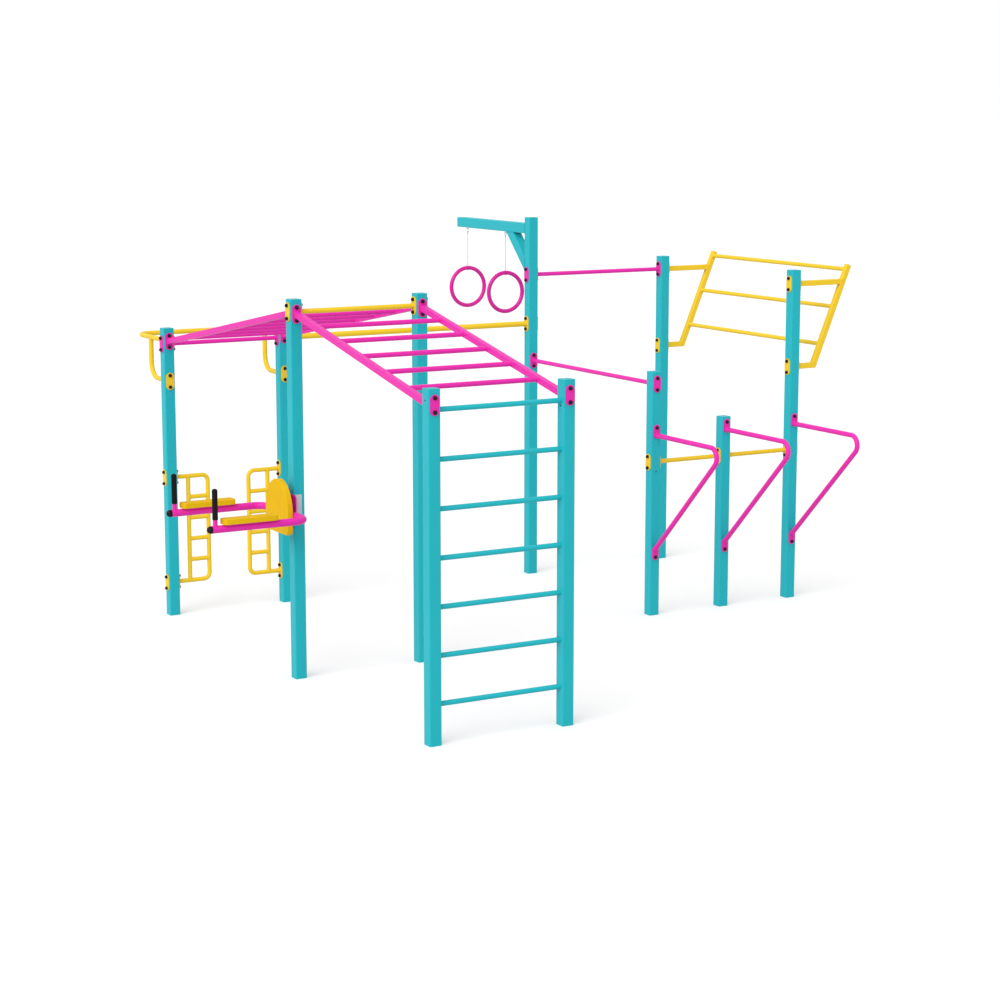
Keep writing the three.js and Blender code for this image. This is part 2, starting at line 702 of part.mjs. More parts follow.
// Side ladder: a bent frame with a second upright and four short rungs.
function sideLadder() {
  const outX = FACE + SIDE_LADDER_OUT;
  const inX = FACE + SIDE_LADDER_IN;
  const frame = (start, radius, sides) => bentRod([
    vec(start, 0, SIDE_LADDER_H),
    vec(outX, 0, SIDE_LADDER_H),
    vec(outX, 0, 0),
    vec(start, 0, 0),
  ], SIDE_LADDER_BEND, radius, sides);
  const upright = (radius, sides) => rod(vec(inX, 0, 0), vec(inX, 0, SIDE_LADDER_H), radius, sides);
  const rungs = Array.from({ length: SIDE_LADDER_RUNGS }, (_, i) => {
    const z = (i + 1) * SIDE_LADDER_PITCH;
    return rod(vec(inX, 0, z), vec(outX, 0, z), BAR_R);
  });
  const bore = BAR_R - TUBE_WALL;
  return weldment(
    [frame(SEAT, BAR_R, ROUND_SIDES), upright(BAR_R, ROUND_SIDES), ...rungs],
    [frame(SEAT - OVERRUN, bore, BORE_SIDES), upright(bore, BORE_SIDES)],
    [0, SIDE_LADDER_H].map((z) => END.backed(facing(AXIS['+x'], vec(0, 0, z)))),
  );
}
addNode(rear, 'side_ladder_left', sideLadder(), YELLOW, vec(0, 0, SIDE_LADDER_LOW_Z));
addNode(rear, 'side_ladder_right', sideLadder(), YELLOW, vec(BAY_WIDTH, 0, SIDE_LADDER_LOW_Z), HALF_TURN);

// Ring gallows: the tallest post with its arm and brace welded on, and a staple for each ring.
const ringTower = group(BAY_WIDTH + RING_BAY, FRONT_BAY + REAR_BAY);
const armUnderside = RING_POST_H - ARM_DROP - ARM_SIDE;

function staple(y) {
  const half = STAPLE_W / 2;
  const eye = half - STAPLE_WIRE;
  const root = STAPLE_ROUND + BITE / 2;
  const outline = new THREE.Shape([
    new THREE.Vector2(-half, root),
    new THREE.Vector2(-half, -STAPLE_H),
    new THREE.Vector2(half, -STAPLE_H),
    new THREE.Vector2(half, root),
    new THREE.Vector2(eye, root),
    new THREE.Vector2(eye, STAPLE_WIRE - STAPLE_H),
    new THREE.Vector2(-eye, STAPLE_WIRE - STAPLE_H),
    new THREE.Vector2(-eye, root),
  ]);
  return softPrism(outline, STAPLE_WIRE, STAPLE_ROUND, inPlaneYZ(-STAPLE_WIRE / 2, y, armUnderside));
}

function gallows() {
  const armZ = armUnderside + ARM_SIDE / 2;
  const braceFoot = armUnderside - BRACE_RISE + ARM_SIDE / 2 * Math.SQRT2 - FACE;
  const braceReach = armZ - braceFoot;
  const outside = roundedShape(ARM_SIDE, ARM_SIDE, POST_CORNER);
  const inside = squareShape(ARM_SIDE - 2 * POST_WALL);
  const outers = join(
    postOuter(RING_POST_H),
    sectionBar(vec(0, 0, armZ), vec(0, ARM_REACH, armZ), outside),
    sectionBar(vec(0, 0, braceFoot), vec(0, braceReach, armZ), outside),
    staple(OUTER_RING_Y),
    staple(INNER_RING_Y),
  );
  return cut(
    outers,
    postInner(RING_POST_H),
    sectionBar(vec(0, 0, armZ), vec(0, ARM_REACH - POST_WALL, armZ), inside),
    sectionBar(vec(0, 0, braceFoot), vec(0, braceReach, armZ), inside),
    jointHoles('+x', REAR_BAR_Z),
    jointHoles('+x', HIGH_BAR_Z),
    jointHoles('+y', SIDE_BAR_Z),
  );
}
addNode(ringTower, 'ring_gallows', gallows(), TEAL);
addNode(
  ringTower,
  'high_bar',
  flangedBar(DIP_PITCH * 2, BAR_R, 'drilled', 'shared'),
  MAGENTA,
  vec(0, 0, HIGH_BAR_Z),
);
addNode(ringTower, 'backplate_high_bar', backPlateSet(AXIS['+x'], HIGH_BAR_Z), MAGENTA);

// Outline of a belt round two circles, the upper one at the origin.
function beltPoints(topR, bottomR, distance) {
  const lean = Math.asin((bottomR - topR) / distance);
  const arc = (radius, y, from, to) => Array.from({ length: BELT_SEGMENTS + 1 }, (_, i) => {
    const step = (to - from) / BELT_SEGMENTS;
    const reach = radius / Math.cos(step / 2);
    return new THREE.Vector2(reach * Math.cos(from + i * step), y + reach * Math.sin(from + i * step));
  });
  return [
    ...arc(topR, 0, lean, HALF_TURN - lean),
    ...arc(bottomR, -distance, HALF_TURN - lean, HALF_TURN + HALF_TURN + lean),
  ];
}

// Ring hanger: a link swings on the staple, a rope sling hangs in the link, and the ring hangs in the sling.
const stapleBarDrop = STAPLE_H - STAPLE_WIRE / 2;
const cornerReach = (wire, round) => Math.hypot(wire / 2, wire / 2 - round);
const linkTop = cornerReach(STAPLE_WIRE, STAPLE_ROUND) + HANGER_CLEAR;
const linkDrop = LINK_INSIDE_H - linkTop + LINK_WIRE / 2;

function linkSolid() {
  const [width, height] = [LINK_INSIDE_W, LINK_INSIDE_H].map((inside) => inside + 2 * LINK_WIRE);
  const outline = roundedShape(width, height, LINK_CORNER + LINK_WIRE);
  outline.holes.push(roundedShape(LINK_INSIDE_W, LINK_INSIDE_H, LINK_CORNER));
  return softPrism(outline, LINK_WIRE, LINK_ROUND, inPlaneXZ(0, LINK_WIRE / 2, linkTop - LINK_INSIDE_H / 2));
}

function slingSolid() {
  const topR = cornerReach(LINK_WIRE, LINK_ROUND) + HANGER_CLEAR;
  const bottomR = RING_TUBE_R + HANGER_CLEAR;
  const distance = RING_DROP - stapleBarDrop - linkDrop;
  const outline = new THREE.Shape(beltPoints(topR + SLING_ROPE, bottomR + SLING_ROPE, distance));
  outline.holes.push(new THREE.Path(beltPoints(topR, bottomR, distance)));
  return prism(outline, SLING_ROPE, inPlaneYZ(-SLING_ROPE / 2, 0, 0));
}

function ringSolid() {
  const matrix = new THREE.Matrix4().makeTranslation(0, 0, -RING_R)
    .multiply(new THREE.Matrix4().makeRotationX(QUARTER_TURN));
  return solidOf(new THREE.TorusGeometry(RING_R, RING_TUBE_R, RING_SECTION_SIDES, RING_STEPS), matrix);
}

[['outer', OUTER_RING_Y], ['inner', INNER_RING_Y]].forEach(([side, y]) => {
  const barZ = armUnderside - stapleBarDrop;
  addNode(ringTower, `ring_link_${side}`, linkSolid(), STEEL, vec(0, y, barZ));
  addNode(ringTower, `ring_sling_${side}`, slingSolid(), ROPE, vec(0, y, barZ - linkDrop));
  addNode(ringTower, `ring_${side}`, ringSolid(), MAGENTA, vec(0, y, armUnderside - RING_DROP));
});

// Inclined ladder between the two tall right-hand posts.
const incline = group(BAY_WIDTH + RING_BAY + 2 * DIP_PITCH, FRONT_BAY + REAR_BAY);
const inclineHoles = () => [...jointHoles('+x', HIGH_BAR_Z), ...jointHoles('+x', INCLINE_LOW_Z)];
addNode(incline, 'post_incline_rear', post(BRIDGE_POST_H, ...inclineHoles()), TEAL);

function inclinedLadder() {
  const tilt = THREE.MathUtils.degToRad(INCLINE_TILT_DEG);
  const along = vec(Math.sin(tilt), 0, Math.cos(tilt));
  const onRail = (distance, y) => vec(INCLINE_ELBOW_X, y, 0).addScaledVector(along, distance);
  const lines = [0, -DIP_SETBACK];
  const rise = HIGH_BAR_Z - INCLINE_LOW_Z;
  const railX = INCLINE_ELBOW_X + rise * Math.tan(tilt);
  const rungPlaces = Array.from(
    { length: INCLINE_RUNGS },
    (_, i) => INCLINE_RAIL_L - INCLINE_TOP_MARGIN - i * INCLINE_RUNG_PITCH,
  );
  const parts = (side, start, extra, rungR, sides) => lines.flatMap((y) => [
    elbowBar(side, start, along, INCLINE_RAIL_L + extra, y),
    block(vec(start, y - side / 2, rise - side / 2), vec(railX, y + side / 2, rise + side / 2)),
  ]).concat(rungPlaces.map((distance) => (
    rod(onRail(distance, lines[0]), onRail(distance, lines[1]), rungR, sides)
  )));
  return weldment(
    parts(BEAM_SIDE, SEAT, 0, RUNG_R, ROUND_SIDES),
    parts(BEAM_SIDE - 2 * BEAM_WALL, SEAT - OVERRUN, -BEAM_WALL, RUNG_R - TUBE_WALL, BORE_SIDES),
    lines.flatMap((y) => [rise, 0].map((z) => END.drilled(facing(AXIS['+x'], vec(0, y, z))))),
  );
}

// Square bar that runs level out of a plate and turns up at a mitred elbow.
function elbowBar(side, start, along, length, y) {
  const half = side / 2;
  const tilt = Math.atan2(along.x, along.z);
  const bisect = (HALF_TURN / 2 - tilt) / 2;
  const shift = half * Math.tan(bisect);
  const across = new THREE.Vector2(along.z, -along.x).multiplyScalar(half);
  const top = new THREE.Vector2(INCLINE_ELBOW_X + along.x * length, along.z * length);
  const outline = new THREE.Shape([
    new THREE.Vector2(start, -half),
    new THREE.Vector2(INCLINE_ELBOW_X + shift, -half),
    top.clone().add(across),
    top.clone().sub(across),
    new THREE.Vector2(INCLINE_ELBOW_X - shift, half),
    new THREE.Vector2(start, half),
  ]);
  return prism(outline, side, inPlaneXZ(0, y + half, 0));
}
addNode(incline, 'inclined_ladder', inclinedLadder(), YELLOW, vec(0, 0, INCLINE_LOW_Z));
addNode(incline, 'backplate_incline_rear_low', backPlateSet(AXIS['+x'], INCLINE_LOW_Z), YELLOW);

// Dip row: three posts with a dip bar each, tied by two low bars and a side bar.
const dipRow = group(BAY_WIDTH + RING_BAY, FRONT_BAY + REAR_BAY - DIP_SETBACK);
const dipHoles = () => [
  ...jointHoles('+x', LOW_BAR_Z),
  ...jointHoles('-y', DIP_BOLT_Z, [0]),
  ...jointHoles('-y', DIP_FOOT_BOLT_Z, [0]),
];
const dipPosts = [
  { name: 'post_dip_left', height: TALL_DIP_POST_H, holes: jointHoles('+y', SIDE_BAR_Z) },
  { name: 'post_dip_middle', height: SHORT_DIP_POST_H, holes: [] },
  { name: 'post_incline_front', height: BRIDGE_POST_H, holes: inclineHoles() },
];
dipPosts[0].holes.push(sideHole('-y', TALL_DIP_POST_H - VENT_DIP_DROP, VENT_R, BORE_SIDES));
dipPosts.forEach(({ name, height, holes }, i) => {
  addNode(dipRow, name, post(height, ...dipHoles(), ...holes), TEAL, vec(i * DIP_PITCH, 0, 0));
});

// Dip bar: one tube, level at the top and turned back to the post on a diagonal.
function dipBar() {
  const angle = THREE.MathUtils.degToRad(DIP_ANGLE_DEG);
  const corner = -(SEAT + DIP_RISE / Math.tan(angle));
  const sunk = FACE / 2;
  const tube = (radius, sides) => bentRod([
    vec(0, -sunk, DIP_TOP_Z),
    vec(0, corner, DIP_TOP_Z),
    vec(0, -sunk, DIP_FOOT_Z - (SEAT - sunk) * Math.tan(angle)),
  ], DIP_BEND, radius, sides);
  const plate = (middle) => plateSolid(facing(AXIS['-y'], vec(0, 0, middle)), DIP_PLATE_W, DIP_PLATE_H);
  const postSpace = block(
    vec(-FACE, -SEAT, DIP_FOOT_Z - DIP_RISE),
    vec(FACE, FACE, DIP_TOP_Z + DIP_RISE),
  );
  const shell = cut(tube(BENT_R, ROUND_SIDES), postSpace);
  const bodies = join(
    shell,
    plate(DIP_TOP_Z + DIP_BOLT_TO_TUBE / 2),
    plate(DIP_FOOT_Z - DIP_BOLT_TO_TUBE / 2),
  );
  const bolts = [DIP_BOLT_Z, DIP_FOOT_BOLT_Z].flatMap(
    (z) => boltSolids(facing(AXIS['-y'], vec(0, 0, z)), OWN_BASE, SEAT, [0]),
  );
  return join(cut(bodies, tube(BENT_R - TUBE_WALL, BORE_SIDES)), bolts);
}
['left', 'middle', 'right'].forEach((side, i) => {
  addNode(dipRow, `dip_bar_${side}`, dipBar(), MAGENTA, vec(i * DIP_PITCH, 0, 0));
});
const lowBarLeft = flangedBar(DIP_PITCH, BAR_R, 'backed', 'shared');
addNode(dipRow, 'low_bar_left', lowBarLeft, YELLOW, vec(0, 0, LOW_BAR_Z));
addNode(
  dipRow,
  'low_bar_right',
  flangedBar(DIP_PITCH, BAR_R, 'drilled', 'backed'),
  YELLOW,
  vec(DIP_PITCH, 0, LOW_BAR_Z),
);
addNode(
  dipRow,
  'side_bar',
  flangedBar(DIP_SETBACK, BAR_R, 'drilled', 'backed'),
  MAGENTA,
  vec(0, 0, SIDE_BAR_Z),
  QUARTER_TURN,
);
addNode(dipRow, 'backplate_side_bar', backPlateSet(AXIS['+y'], SIDE_BAR_Z), MAGENTA);
[['top', HIGH_BAR_Z], ['low', INCLINE_LOW_Z]].forEach(([level, z]) => {
  addNode(
    dipRow,
    `backplate_incline_front_${level}`,
    backPlateSet(AXIS['+x'], z),
    YELLOW,
    vec(2 * DIP_PITCH, 0, 0),
  );
});

// Knee-raise seat, bolted to the left bridge post and facing away from the bars.
const knee = group(0, FRONT_BAY);
const kneeSide = KNEE_ARM_SPACING / 2;
const closingX = kneePlateFront + KNEE_STANDOFF + KNEE_TUBE_R - KNEE_WELD;
const padPlateBack = closingX + KNEE_TUBE_R - KNEE_WELD;
const padPlateFront = padPlateBack + PAD_PLATE_T;
const stripTop = KNEE_Z + KNEE_TUBE_R + ARM_STRIP_T;
const stripBottom = stripTop - ARM_STRIP_T - KNEE_WELD;
const gripX = KNEE_ARM_END - GRIP_SETBACK;
const armPadMiddle = KNEE_ARM_END - ARM_PAD_SETBACK - ARM_PAD_L / 2;
const padStudPlaces = [-1, 1].map((level) => KNEE_Z + PAD_RISE + level * PAD_STUD_SPACING / 2);
const uprightPlate = (near, width, height, thickness, corner) => prism(
  roundedShape(width, height, corner),
  thickness,
  inPlaneYZ(near, 0, KNEE_Z + KNEE_PLATE_RISE),
);
const alongX = (from, to, y, z, radius, sides) => rod(vec(from, y, z), vec(to, y, z), radius, sides);

function kneeFrame() {
  const tube = (radius, sides, extra) => bentRod([
    vec(-KNEE_ARM_END - extra, kneeSide, KNEE_Z),
    vec(-closingX, kneeSide, KNEE_Z),
    vec(-closingX, -kneeSide, KNEE_Z),
    vec(-KNEE_ARM_END - extra, -kneeSide, KNEE_Z),
  ], KNEE_BEND, radius, sides);
  const strip = (side) => block(
    vec(-armPadMiddle - ARM_STRIP_L / 2, side * kneeSide - ARM_STRIP_W / 2, stripBottom),
    vec(-armPadMiddle + ARM_STRIP_L / 2, side * kneeSide + ARM_STRIP_W / 2, stripTop),
  );
  const stub = (side) => rod(
    vec(-gripX, side * kneeSide, KNEE_Z),
    vec(-gripX, side * kneeSide, KNEE_Z + STUB_H + GRIP_L - GRIP_CORE_SHORT),
    STUB_R,
  );
  const rib = (side) => block(
    vec(-closingX, (side * KNEE_RIB_SPACING - KNEE_RIB_T) / 2, KNEE_Z - KNEE_RIB_H / 2),
    vec(-kneePlateFront + KNEE_WELD, (side * KNEE_RIB_SPACING + KNEE_RIB_T) / 2, KNEE_Z + KNEE_RIB_H / 2),
  );
  const padPlate = prism(
    roundedShape(PAD_PLATE_W, PAD_PLATE_H, KNEE_PLATE_CORNER),
    PAD_PLATE_T,
    inPlaneYZ(-padPlateFront, 0, KNEE_Z + PAD_RISE),
  );
  const studEnd = -padPlateFront - PAD_STUD_L;
  const studs = padStudPlaces.map((z) => alongX(-padPlateBack, studEnd, 0, z, PAD_STUD_R, BOLT_SIDES));
  const outers = join(
    tube(KNEE_TUBE_R, ROUND_SIDES, 0),
    uprightPlate(-kneePlateFront, KNEE_PLATE_W, KNEE_PLATE_H, KNEE_PLATE_T, KNEE_PLATE_CORNER),
    [-1, 1].map(rib),
    padPlate,
    studs,
    [-1, 1].flatMap((side) => [strip(side), stub(side)]),
  );
  return cut(outers, tube(KNEE_TUBE_R - TUBE_WALL, ROUND_SIDES, OVERRUN), kneeBoltHoles());
}
addNode(knee, 'knee_frame', kneeFrame(), MAGENTA);

// Nut plate inside the post, with the four bolts that hold the seat to the post's wall.
function kneeClamp() {
  const outer = FACE - POST_WALL - GAP;
  const inner = outer - KNEE_NUT_PLATE_T;
  const bolts = kneeBoltPlaces.map(({ y, z }) => {
    const matrix = facing(AXIS['-x'], vec(0, y, z));
    return boltSolids(matrix, kneePlateFront + GAP, -inner - BITE, [0], KNEE_HEAD_H);
  });
  return join(
    uprightPlate(-outer, KNEE_NUT_PLATE_W, KNEE_NUT_PLATE_H, KNEE_NUT_PLATE_T, KNEE_NUT_PLATE_CORNER),
    bolts.flat(),
  );
}
addNode(knee, 'knee_clamp', kneeClamp(), MAGENTA);

// Back pad: an arched shield, softened at its front edge.
function backPadShape() {
  const half = BACK_PAD_W / 2;
  const low = -BACK_PAD_H / 2;
  const shoulder = BACK_PAD_H / 2 - BACK_PAD_ARCH_H;
  const corner = BACK_PAD_CORNER;
  const shape = new THREE.Shape();
  shape.absarc(-half + corner, low + corner, corner, HALF_TURN, HALF_TURN + QUARTER_TURN);
  shape.absarc(half - corner, low + corner, corner, -QUARTER_TURN, 0);
  const arch = Array.from({ length: ARCH_SEGMENTS + 1 }, (_, i) => {
    const angle = HALF_TURN * i / ARCH_SEGMENTS;
    return new THREE.Vector2(half * Math.cos(angle), shoulder + BACK_PAD_ARCH_H * Math.sin(angle));
  });
  arch.forEach((point) => shape.lineTo(point.x, point.y));
  shape.closePath();
  return shape;
}
const backPad = softPrism(backPadShape(), BACK_PAD_T, BACK_PAD_ROUND, inPlaneYZ(-BACK_PAD_T, 0, 0));
const backPadStuds = padStudPlaces.map((z) => alongX(
  -PAD_STUD_L - GAP - GAP,
  OVERRUN,
  0,
  z - KNEE_Z - PAD_RISE,
  PAD_STUD_R + GAP,
  BOLT_SIDES,
));
const backPadPlace = vec(-padPlateFront - GAP, 0, KNEE_Z + PAD_RISE);
addNode(knee, 'back_pad', cut(backPad, backPadStuds), PAD_YELLOW, backPadPlace);

// Arm pads, grips and end caps, one of each on both arms.
function armPad() {
  const outline = roundedShape(ARM_PAD_L, ARM_PAD_W, ARM_PAD_CORNER);
  return softPrism(outline, ARM_PAD_T, ARM_PAD_ROUND, new THREE.Matrix4());
}

// Turned piece on the vertical axis from a closed half profile.
const turned = (points, sides, matrix) => solidOf(
  new THREE.LatheGeometry(points.map(([r, z]) => new THREE.Vector2(r, z)), sides),
  (matrix ?? new THREE.Matrix4()).multiply(new THREE.Matrix4().makeRotationX(QUARTER_TURN)),
);
const domeProfile = (radius, base, height) => Array.from({ length: CAP_SEGMENTS + 1 }, (_, i) => {
  const angle = QUARTER_TURN * i / CAP_SEGMENTS;
  return [radius * Math.cos(angle), base + height * Math.sin(angle)];
});

function gripSolid() {
  const bore = STUB_R + GAP;
  const boreTop = GRIP_L - GRIP_CORE_SHORT + GAP;
  return turned([
    [bore, 0],
    [GRIP_R, 0],
    ...domeProfile(GRIP_R, GRIP_L - GRIP_R / 2, GRIP_R / 2).slice(0, -1),
    [0, GRIP_L],
    [0, boreTop],
    [bore, boreTop],
    [bore, 0],
  ], ROUND_SIDES);
}

function endCapSolid() {
  const spigot = KNEE_TUBE_R - TUBE_WALL - GAP - GAP;
  return turned([
    [0, -END_CAP_SPIGOT_L],
    [spigot, -END_CAP_SPIGOT_L],
    [spigot, 0],
    [KNEE_TUBE_R, 0],
    ...domeProfile(KNEE_TUBE_R, END_CAP_COLLAR, END_CAP_L - END_CAP_COLLAR).slice(0, -1),
    [0, END_CAP_L],
  ], ROUND_SIDES, new THREE.Matrix4().makeRotationY(-QUARTER_TURN));
}

[['front', -1], ['rear', 1]].forEach(([side, sign]) => {
  const y = sign * kneeSide;
  addNode(knee, `arm_pad_${side}`, armPad(), PAD_YELLOW, vec(-armPadMiddle, y, stripTop + GAP));
  addNode(knee, `grip_${side}`, gripSolid(), BLACK, vec(-gripX, y, KNEE_Z + STUB_H));
  addNode(knee, `end_cap_${side}`, endCapSolid(), BLACK, vec(-KNEE_ARM_END - GAP, y, KNEE_Z));
});

// The origin is the middle of the ground area that the station covers.
const bounds = new THREE.Box3().setFromObject(station, true);
const centre = bounds.getCenter(new THREE.Vector3());
station.position.set(-centre.x, -centre.y, -bounds.min.z);

const part = new THREE.Group();
part.add(station);

export default part;
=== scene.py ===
"""Outdoor fitness station: its painted steel, bolts, pads, grips and hanging rings, ready to render.

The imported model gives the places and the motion. Every surface here is worked out with numpy from named
sizes, in millimetres in the row frame, and is put into a mesh in metres with its object at the origin.
"""
import sys

import logging
import math
from abc import ABC, abstractmethod
from collections.abc import Sequence
from dataclasses import dataclass, field
from enum import Enum
from functools import cache

import bpy
import numpy as np
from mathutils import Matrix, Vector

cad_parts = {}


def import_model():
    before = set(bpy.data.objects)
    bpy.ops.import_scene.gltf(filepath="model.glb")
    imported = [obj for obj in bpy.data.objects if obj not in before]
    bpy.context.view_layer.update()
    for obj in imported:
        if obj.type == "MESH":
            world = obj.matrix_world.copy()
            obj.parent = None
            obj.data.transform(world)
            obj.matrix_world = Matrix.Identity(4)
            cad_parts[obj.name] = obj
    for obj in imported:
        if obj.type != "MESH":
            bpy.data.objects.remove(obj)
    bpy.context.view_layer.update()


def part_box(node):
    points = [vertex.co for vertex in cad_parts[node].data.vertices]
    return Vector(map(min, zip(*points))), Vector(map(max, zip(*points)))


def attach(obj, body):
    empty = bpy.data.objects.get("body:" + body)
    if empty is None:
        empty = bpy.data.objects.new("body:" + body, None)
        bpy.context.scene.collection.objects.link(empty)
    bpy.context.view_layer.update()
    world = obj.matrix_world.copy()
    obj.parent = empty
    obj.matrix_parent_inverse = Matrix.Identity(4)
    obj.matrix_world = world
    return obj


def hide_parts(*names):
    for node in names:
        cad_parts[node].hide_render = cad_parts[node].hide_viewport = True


log = logging.getLogger("fitness_station")

Array = np.ndarray
Vec2 = tuple[float, float]
Vec3 = tuple[float, float, float]
Point = Vec3 | Array
Tree = bpy.types.NodeTree
Node = bpy.types.Node
Socket = bpy.types.NodeSocket
Settings = tuple[tuple[str, float], ...]

MM = 0.001
UP: Vec3 = (0.0, 0.0, 1.0)
DOWN: Vec3 = (0.0, 0.0, -1.0)
ALONG_X: Vec3 = (1.0, 0.0, 0.0)
ALONG_Y: Vec3 = (0.0, 1.0, 0.0)
WHITE = (1.0, 1.0, 1.0, 1.0)
SHARP_EDGE_DEG = 35.0
WELD_SWELL = 0.1
SIDES = ("left", "right")


# Surfaces


@dataclass
class Shell:
    """One closed surface.

    Attributes:
        points: corner points in millimetres, one row each.
        faces: arrays of corner numbers, one array for each number of sides.
    """

    points: Array
    faces: list[Array]

    def volume(self) -> float:
        """Signed volume: a sixth of the sum of a . (b x c) over a fan of triangles in each face.

        Returns:
            The volume, positive where the faces look outwards.
        """
        total = 0.0
        for rows in self.faces:
            corners = self.points[rows]
            b, c = corners[:, 1:-1], corners[:, 2:]
            a = np.broadcast_to(corners[:, :1], b.shape)
            total += float(np.einsum("ijk,ijk->", a, np.cross(b, c)))
        return total / 6.0

    def outward(self) -> "Shell":
        """The same surface with every face turned to look outwards."""
        turned_round = [rows[:, ::-1] for rows in self.faces]
        return self if self.volume() >= 0.0 else Shell(self.points, turned_round)


@dataclass(frozen=True)
class Axes:
    """A place with its own three directions, in the row frame."""

    origin: Point
    x: Point
    y: Point
    z: Point

    def put(self, points: Array) -> Array:
        """Row-frame points: origin + u * x + v * y + w * z for each local (u, v, w)."""
        return np.asarray(points, float) @ np.array([self.x, self.y, self.z]) + np.array(self.origin)

    def out(self, distance: float) -> "Axes":
        """The same directions from a place further along z."""
        return Axes(self.put(np.array([0.0, 0.0, distance])), self.x, self.y, self.z)


def unit(vectors: Array) -> Array:
    """Each vector divided by its own length."""
    vectors = np.asarray(vectors, float)
    return vectors / np.linalg.norm(vectors, axis=-1, keepdims=True)


def raised(outline: Array, height: float = 0.0) -> Array:
    """A flat outline (u, v) as local points (u, v, height)."""
    return np.column_stack([outline, np.full(len(outline), height)])


def quarter_turn(count: int) -> Array:
    """Even angles over a quarter turn, both ends included."""
    return np.linspace(0.0, math.pi / 2, count)


def circle(radius: float, sides: int = 24) -> Array:
    """Outline of a circle: (r cos a, r sin a) for even angles a.

    Args:
        radius: its radius.
        sides: how many points.

    Returns:
        The outline, anticlockwise.
    """
    angle = np.linspace(0.0, 2 * math.pi, sides, endpoint=False)
    return radius * np.column_stack([np.cos(angle), np.sin(angle)])


def rounded_rectangle(width: float, height: float, corner: float, steps: int = 6) -> Array:
    """Outline of a rectangle whose corners are quarter circles.

    Each point is a corner circle's centre plus corner * (cos a, sin a), over a quarter turn a for each of
    the four centres (+-(width/2 - corner), +-(height/2 - corner)).

    Args:
        width: size along u.
        height: size along v.
        corner: radius of the corners; half the width gives round ends.
        steps: steps in each quarter circle.

    Returns:
        The outline, anticlockwise, with equal points merged.
    """
    quarter = quarter_turn(steps + 1)
    angle = quarter[None, :] + np.arange(4)[:, None] * math.pi / 2
    signs = np.array([[1, 1], [-1, 1], [-1, -1], [1, -1]], float)
    centres = signs * np.array([width / 2 - corner, height / 2 - corner])
    arcs = centres[:, None, :] + corner * np.stack([np.cos(angle), np.sin(angle)], axis=-1)
    outline = arcs.reshape(-1, 2)
    apart = np.linalg.norm(outline - np.roll(outline, 1, axis=0), axis=1) > 1e-6
    return outline[apart]


def loop_length(line: Array) -> float:
    """Length of a closed line, from its points."""
    return float(np.sum(np.linalg.norm(np.roll(line, -1, axis=0) - line, axis=1)))


def even_loop(outline: Array, count: int) -> Array:
    """A closed line drawn again with evenly spaced points.

    Point k lies at k / count of the way round, measured along the line.

    Args:
        outline: the corner points of the closed line.
        count: how many points to lay.

    Returns:
        The new points.
    """
    closed = np.vstack([outline, outline[:1]])
    length = np.concatenate([[0.0], np.cumsum(np.linalg.norm(np.diff(closed, axis=0), axis=1))])
    wanted = np.linspace(0.0, length[-1], count, endpoint=False)
    return np.column_stack([np.interp(wanted, length, column) for column in closed.T])


def loft(
    rings: Array, closed: bool = False, first_pole: Array | None = None, last_pole: Array | None = None
) -> Shell:
    """Skin over rings: face (i, j) joins points j and j + 1 of ring i to the same two of ring i + 1.

    Args:
        rings: array of rings, points and coordinates.
        closed: whether the last ring joins the first, as on a wire loop.
        first_pole: point that closes the first ring with a fan; without it the end is one flat face.
        last_pole: the same for the last ring.

    Returns:
        A closed shell that looks outwards.
    """
    count, sides = rings.shape[:2]
    grid = np.arange(count * sides).reshape(count, sides)
    lower = grid if closed else grid[:-1]
    upper = np.roll(grid, -1, axis=0) if closed else grid[1:]
    ahead = (np.roll(lower, -1, axis=1), np.roll(upper, -1, axis=1))
    faces = [np.stack([lower, ahead[0], ahead[1], upper], axis=-1).reshape(-1, 4)]
    points = [rings.reshape(-1, 3)]
    if not closed:
        ends = ((grid[0][::-1], first_pole), (grid[-1], last_pole))
        for number, (ring, pole) in enumerate(ends):
            if pole is None:
                faces.append(ring[None, :])
                continue
            tip = count * sides + sum(p is not None for _, p in ends[:number])
            points.append(np.asarray(pole, float)[None, :])
            faces.append(np.stack([ring, np.roll(ring, -1), np.full(sides, tip)], axis=-1))
    return Shell(np.vstack(points), faces).outward()


def bent_line(
    corners: Sequence[Point] | Array, bend: float, loop: bool = False, step_deg: float = 7.5
) -> Array:
    """Straight runs joined by true arcs.

    At an inner corner where the line turns by a, the arc starts bend * tan(a / 2) before the corner, and its
    point at angle b is start + before * bend * sin b + inward * bend * (1 - cos b).

    Args:
        corners: the corner points.
        bend: radius of the bends on the centre line.
        loop: whether the line closes on itself, with a bend at every corner.
        step_deg: largest turn from one point to the next.

    Returns:
        The points of the line, in order.
    """
    places = np.asarray(corners, float)
    if loop:
        places = np.vstack([places[-1:], places, places[:1]])
    runs = [] if loop else [places[:1]]
    for last, here, after_it in zip(places[:-2], places[1:-1], places[2:]):
        before, after = unit(here - last), unit(after_it - here)
        turn = math.acos(float(np.clip(before @ after, -1.0, 1.0)))
        inward = unit(after - before * (after @ before))
        start = here - before * bend * math.tan(turn / 2)
        b = np.linspace(0.0, turn, max(3, math.ceil(math.degrees(turn) / step_deg) + 1))[:, None]
        runs.append(start + before * bend * np.sin(b) + inward * bend * (1 - np.cos(b)))
    if not loop:
        runs.append(places[-1:])
    return np.concatenate(runs)


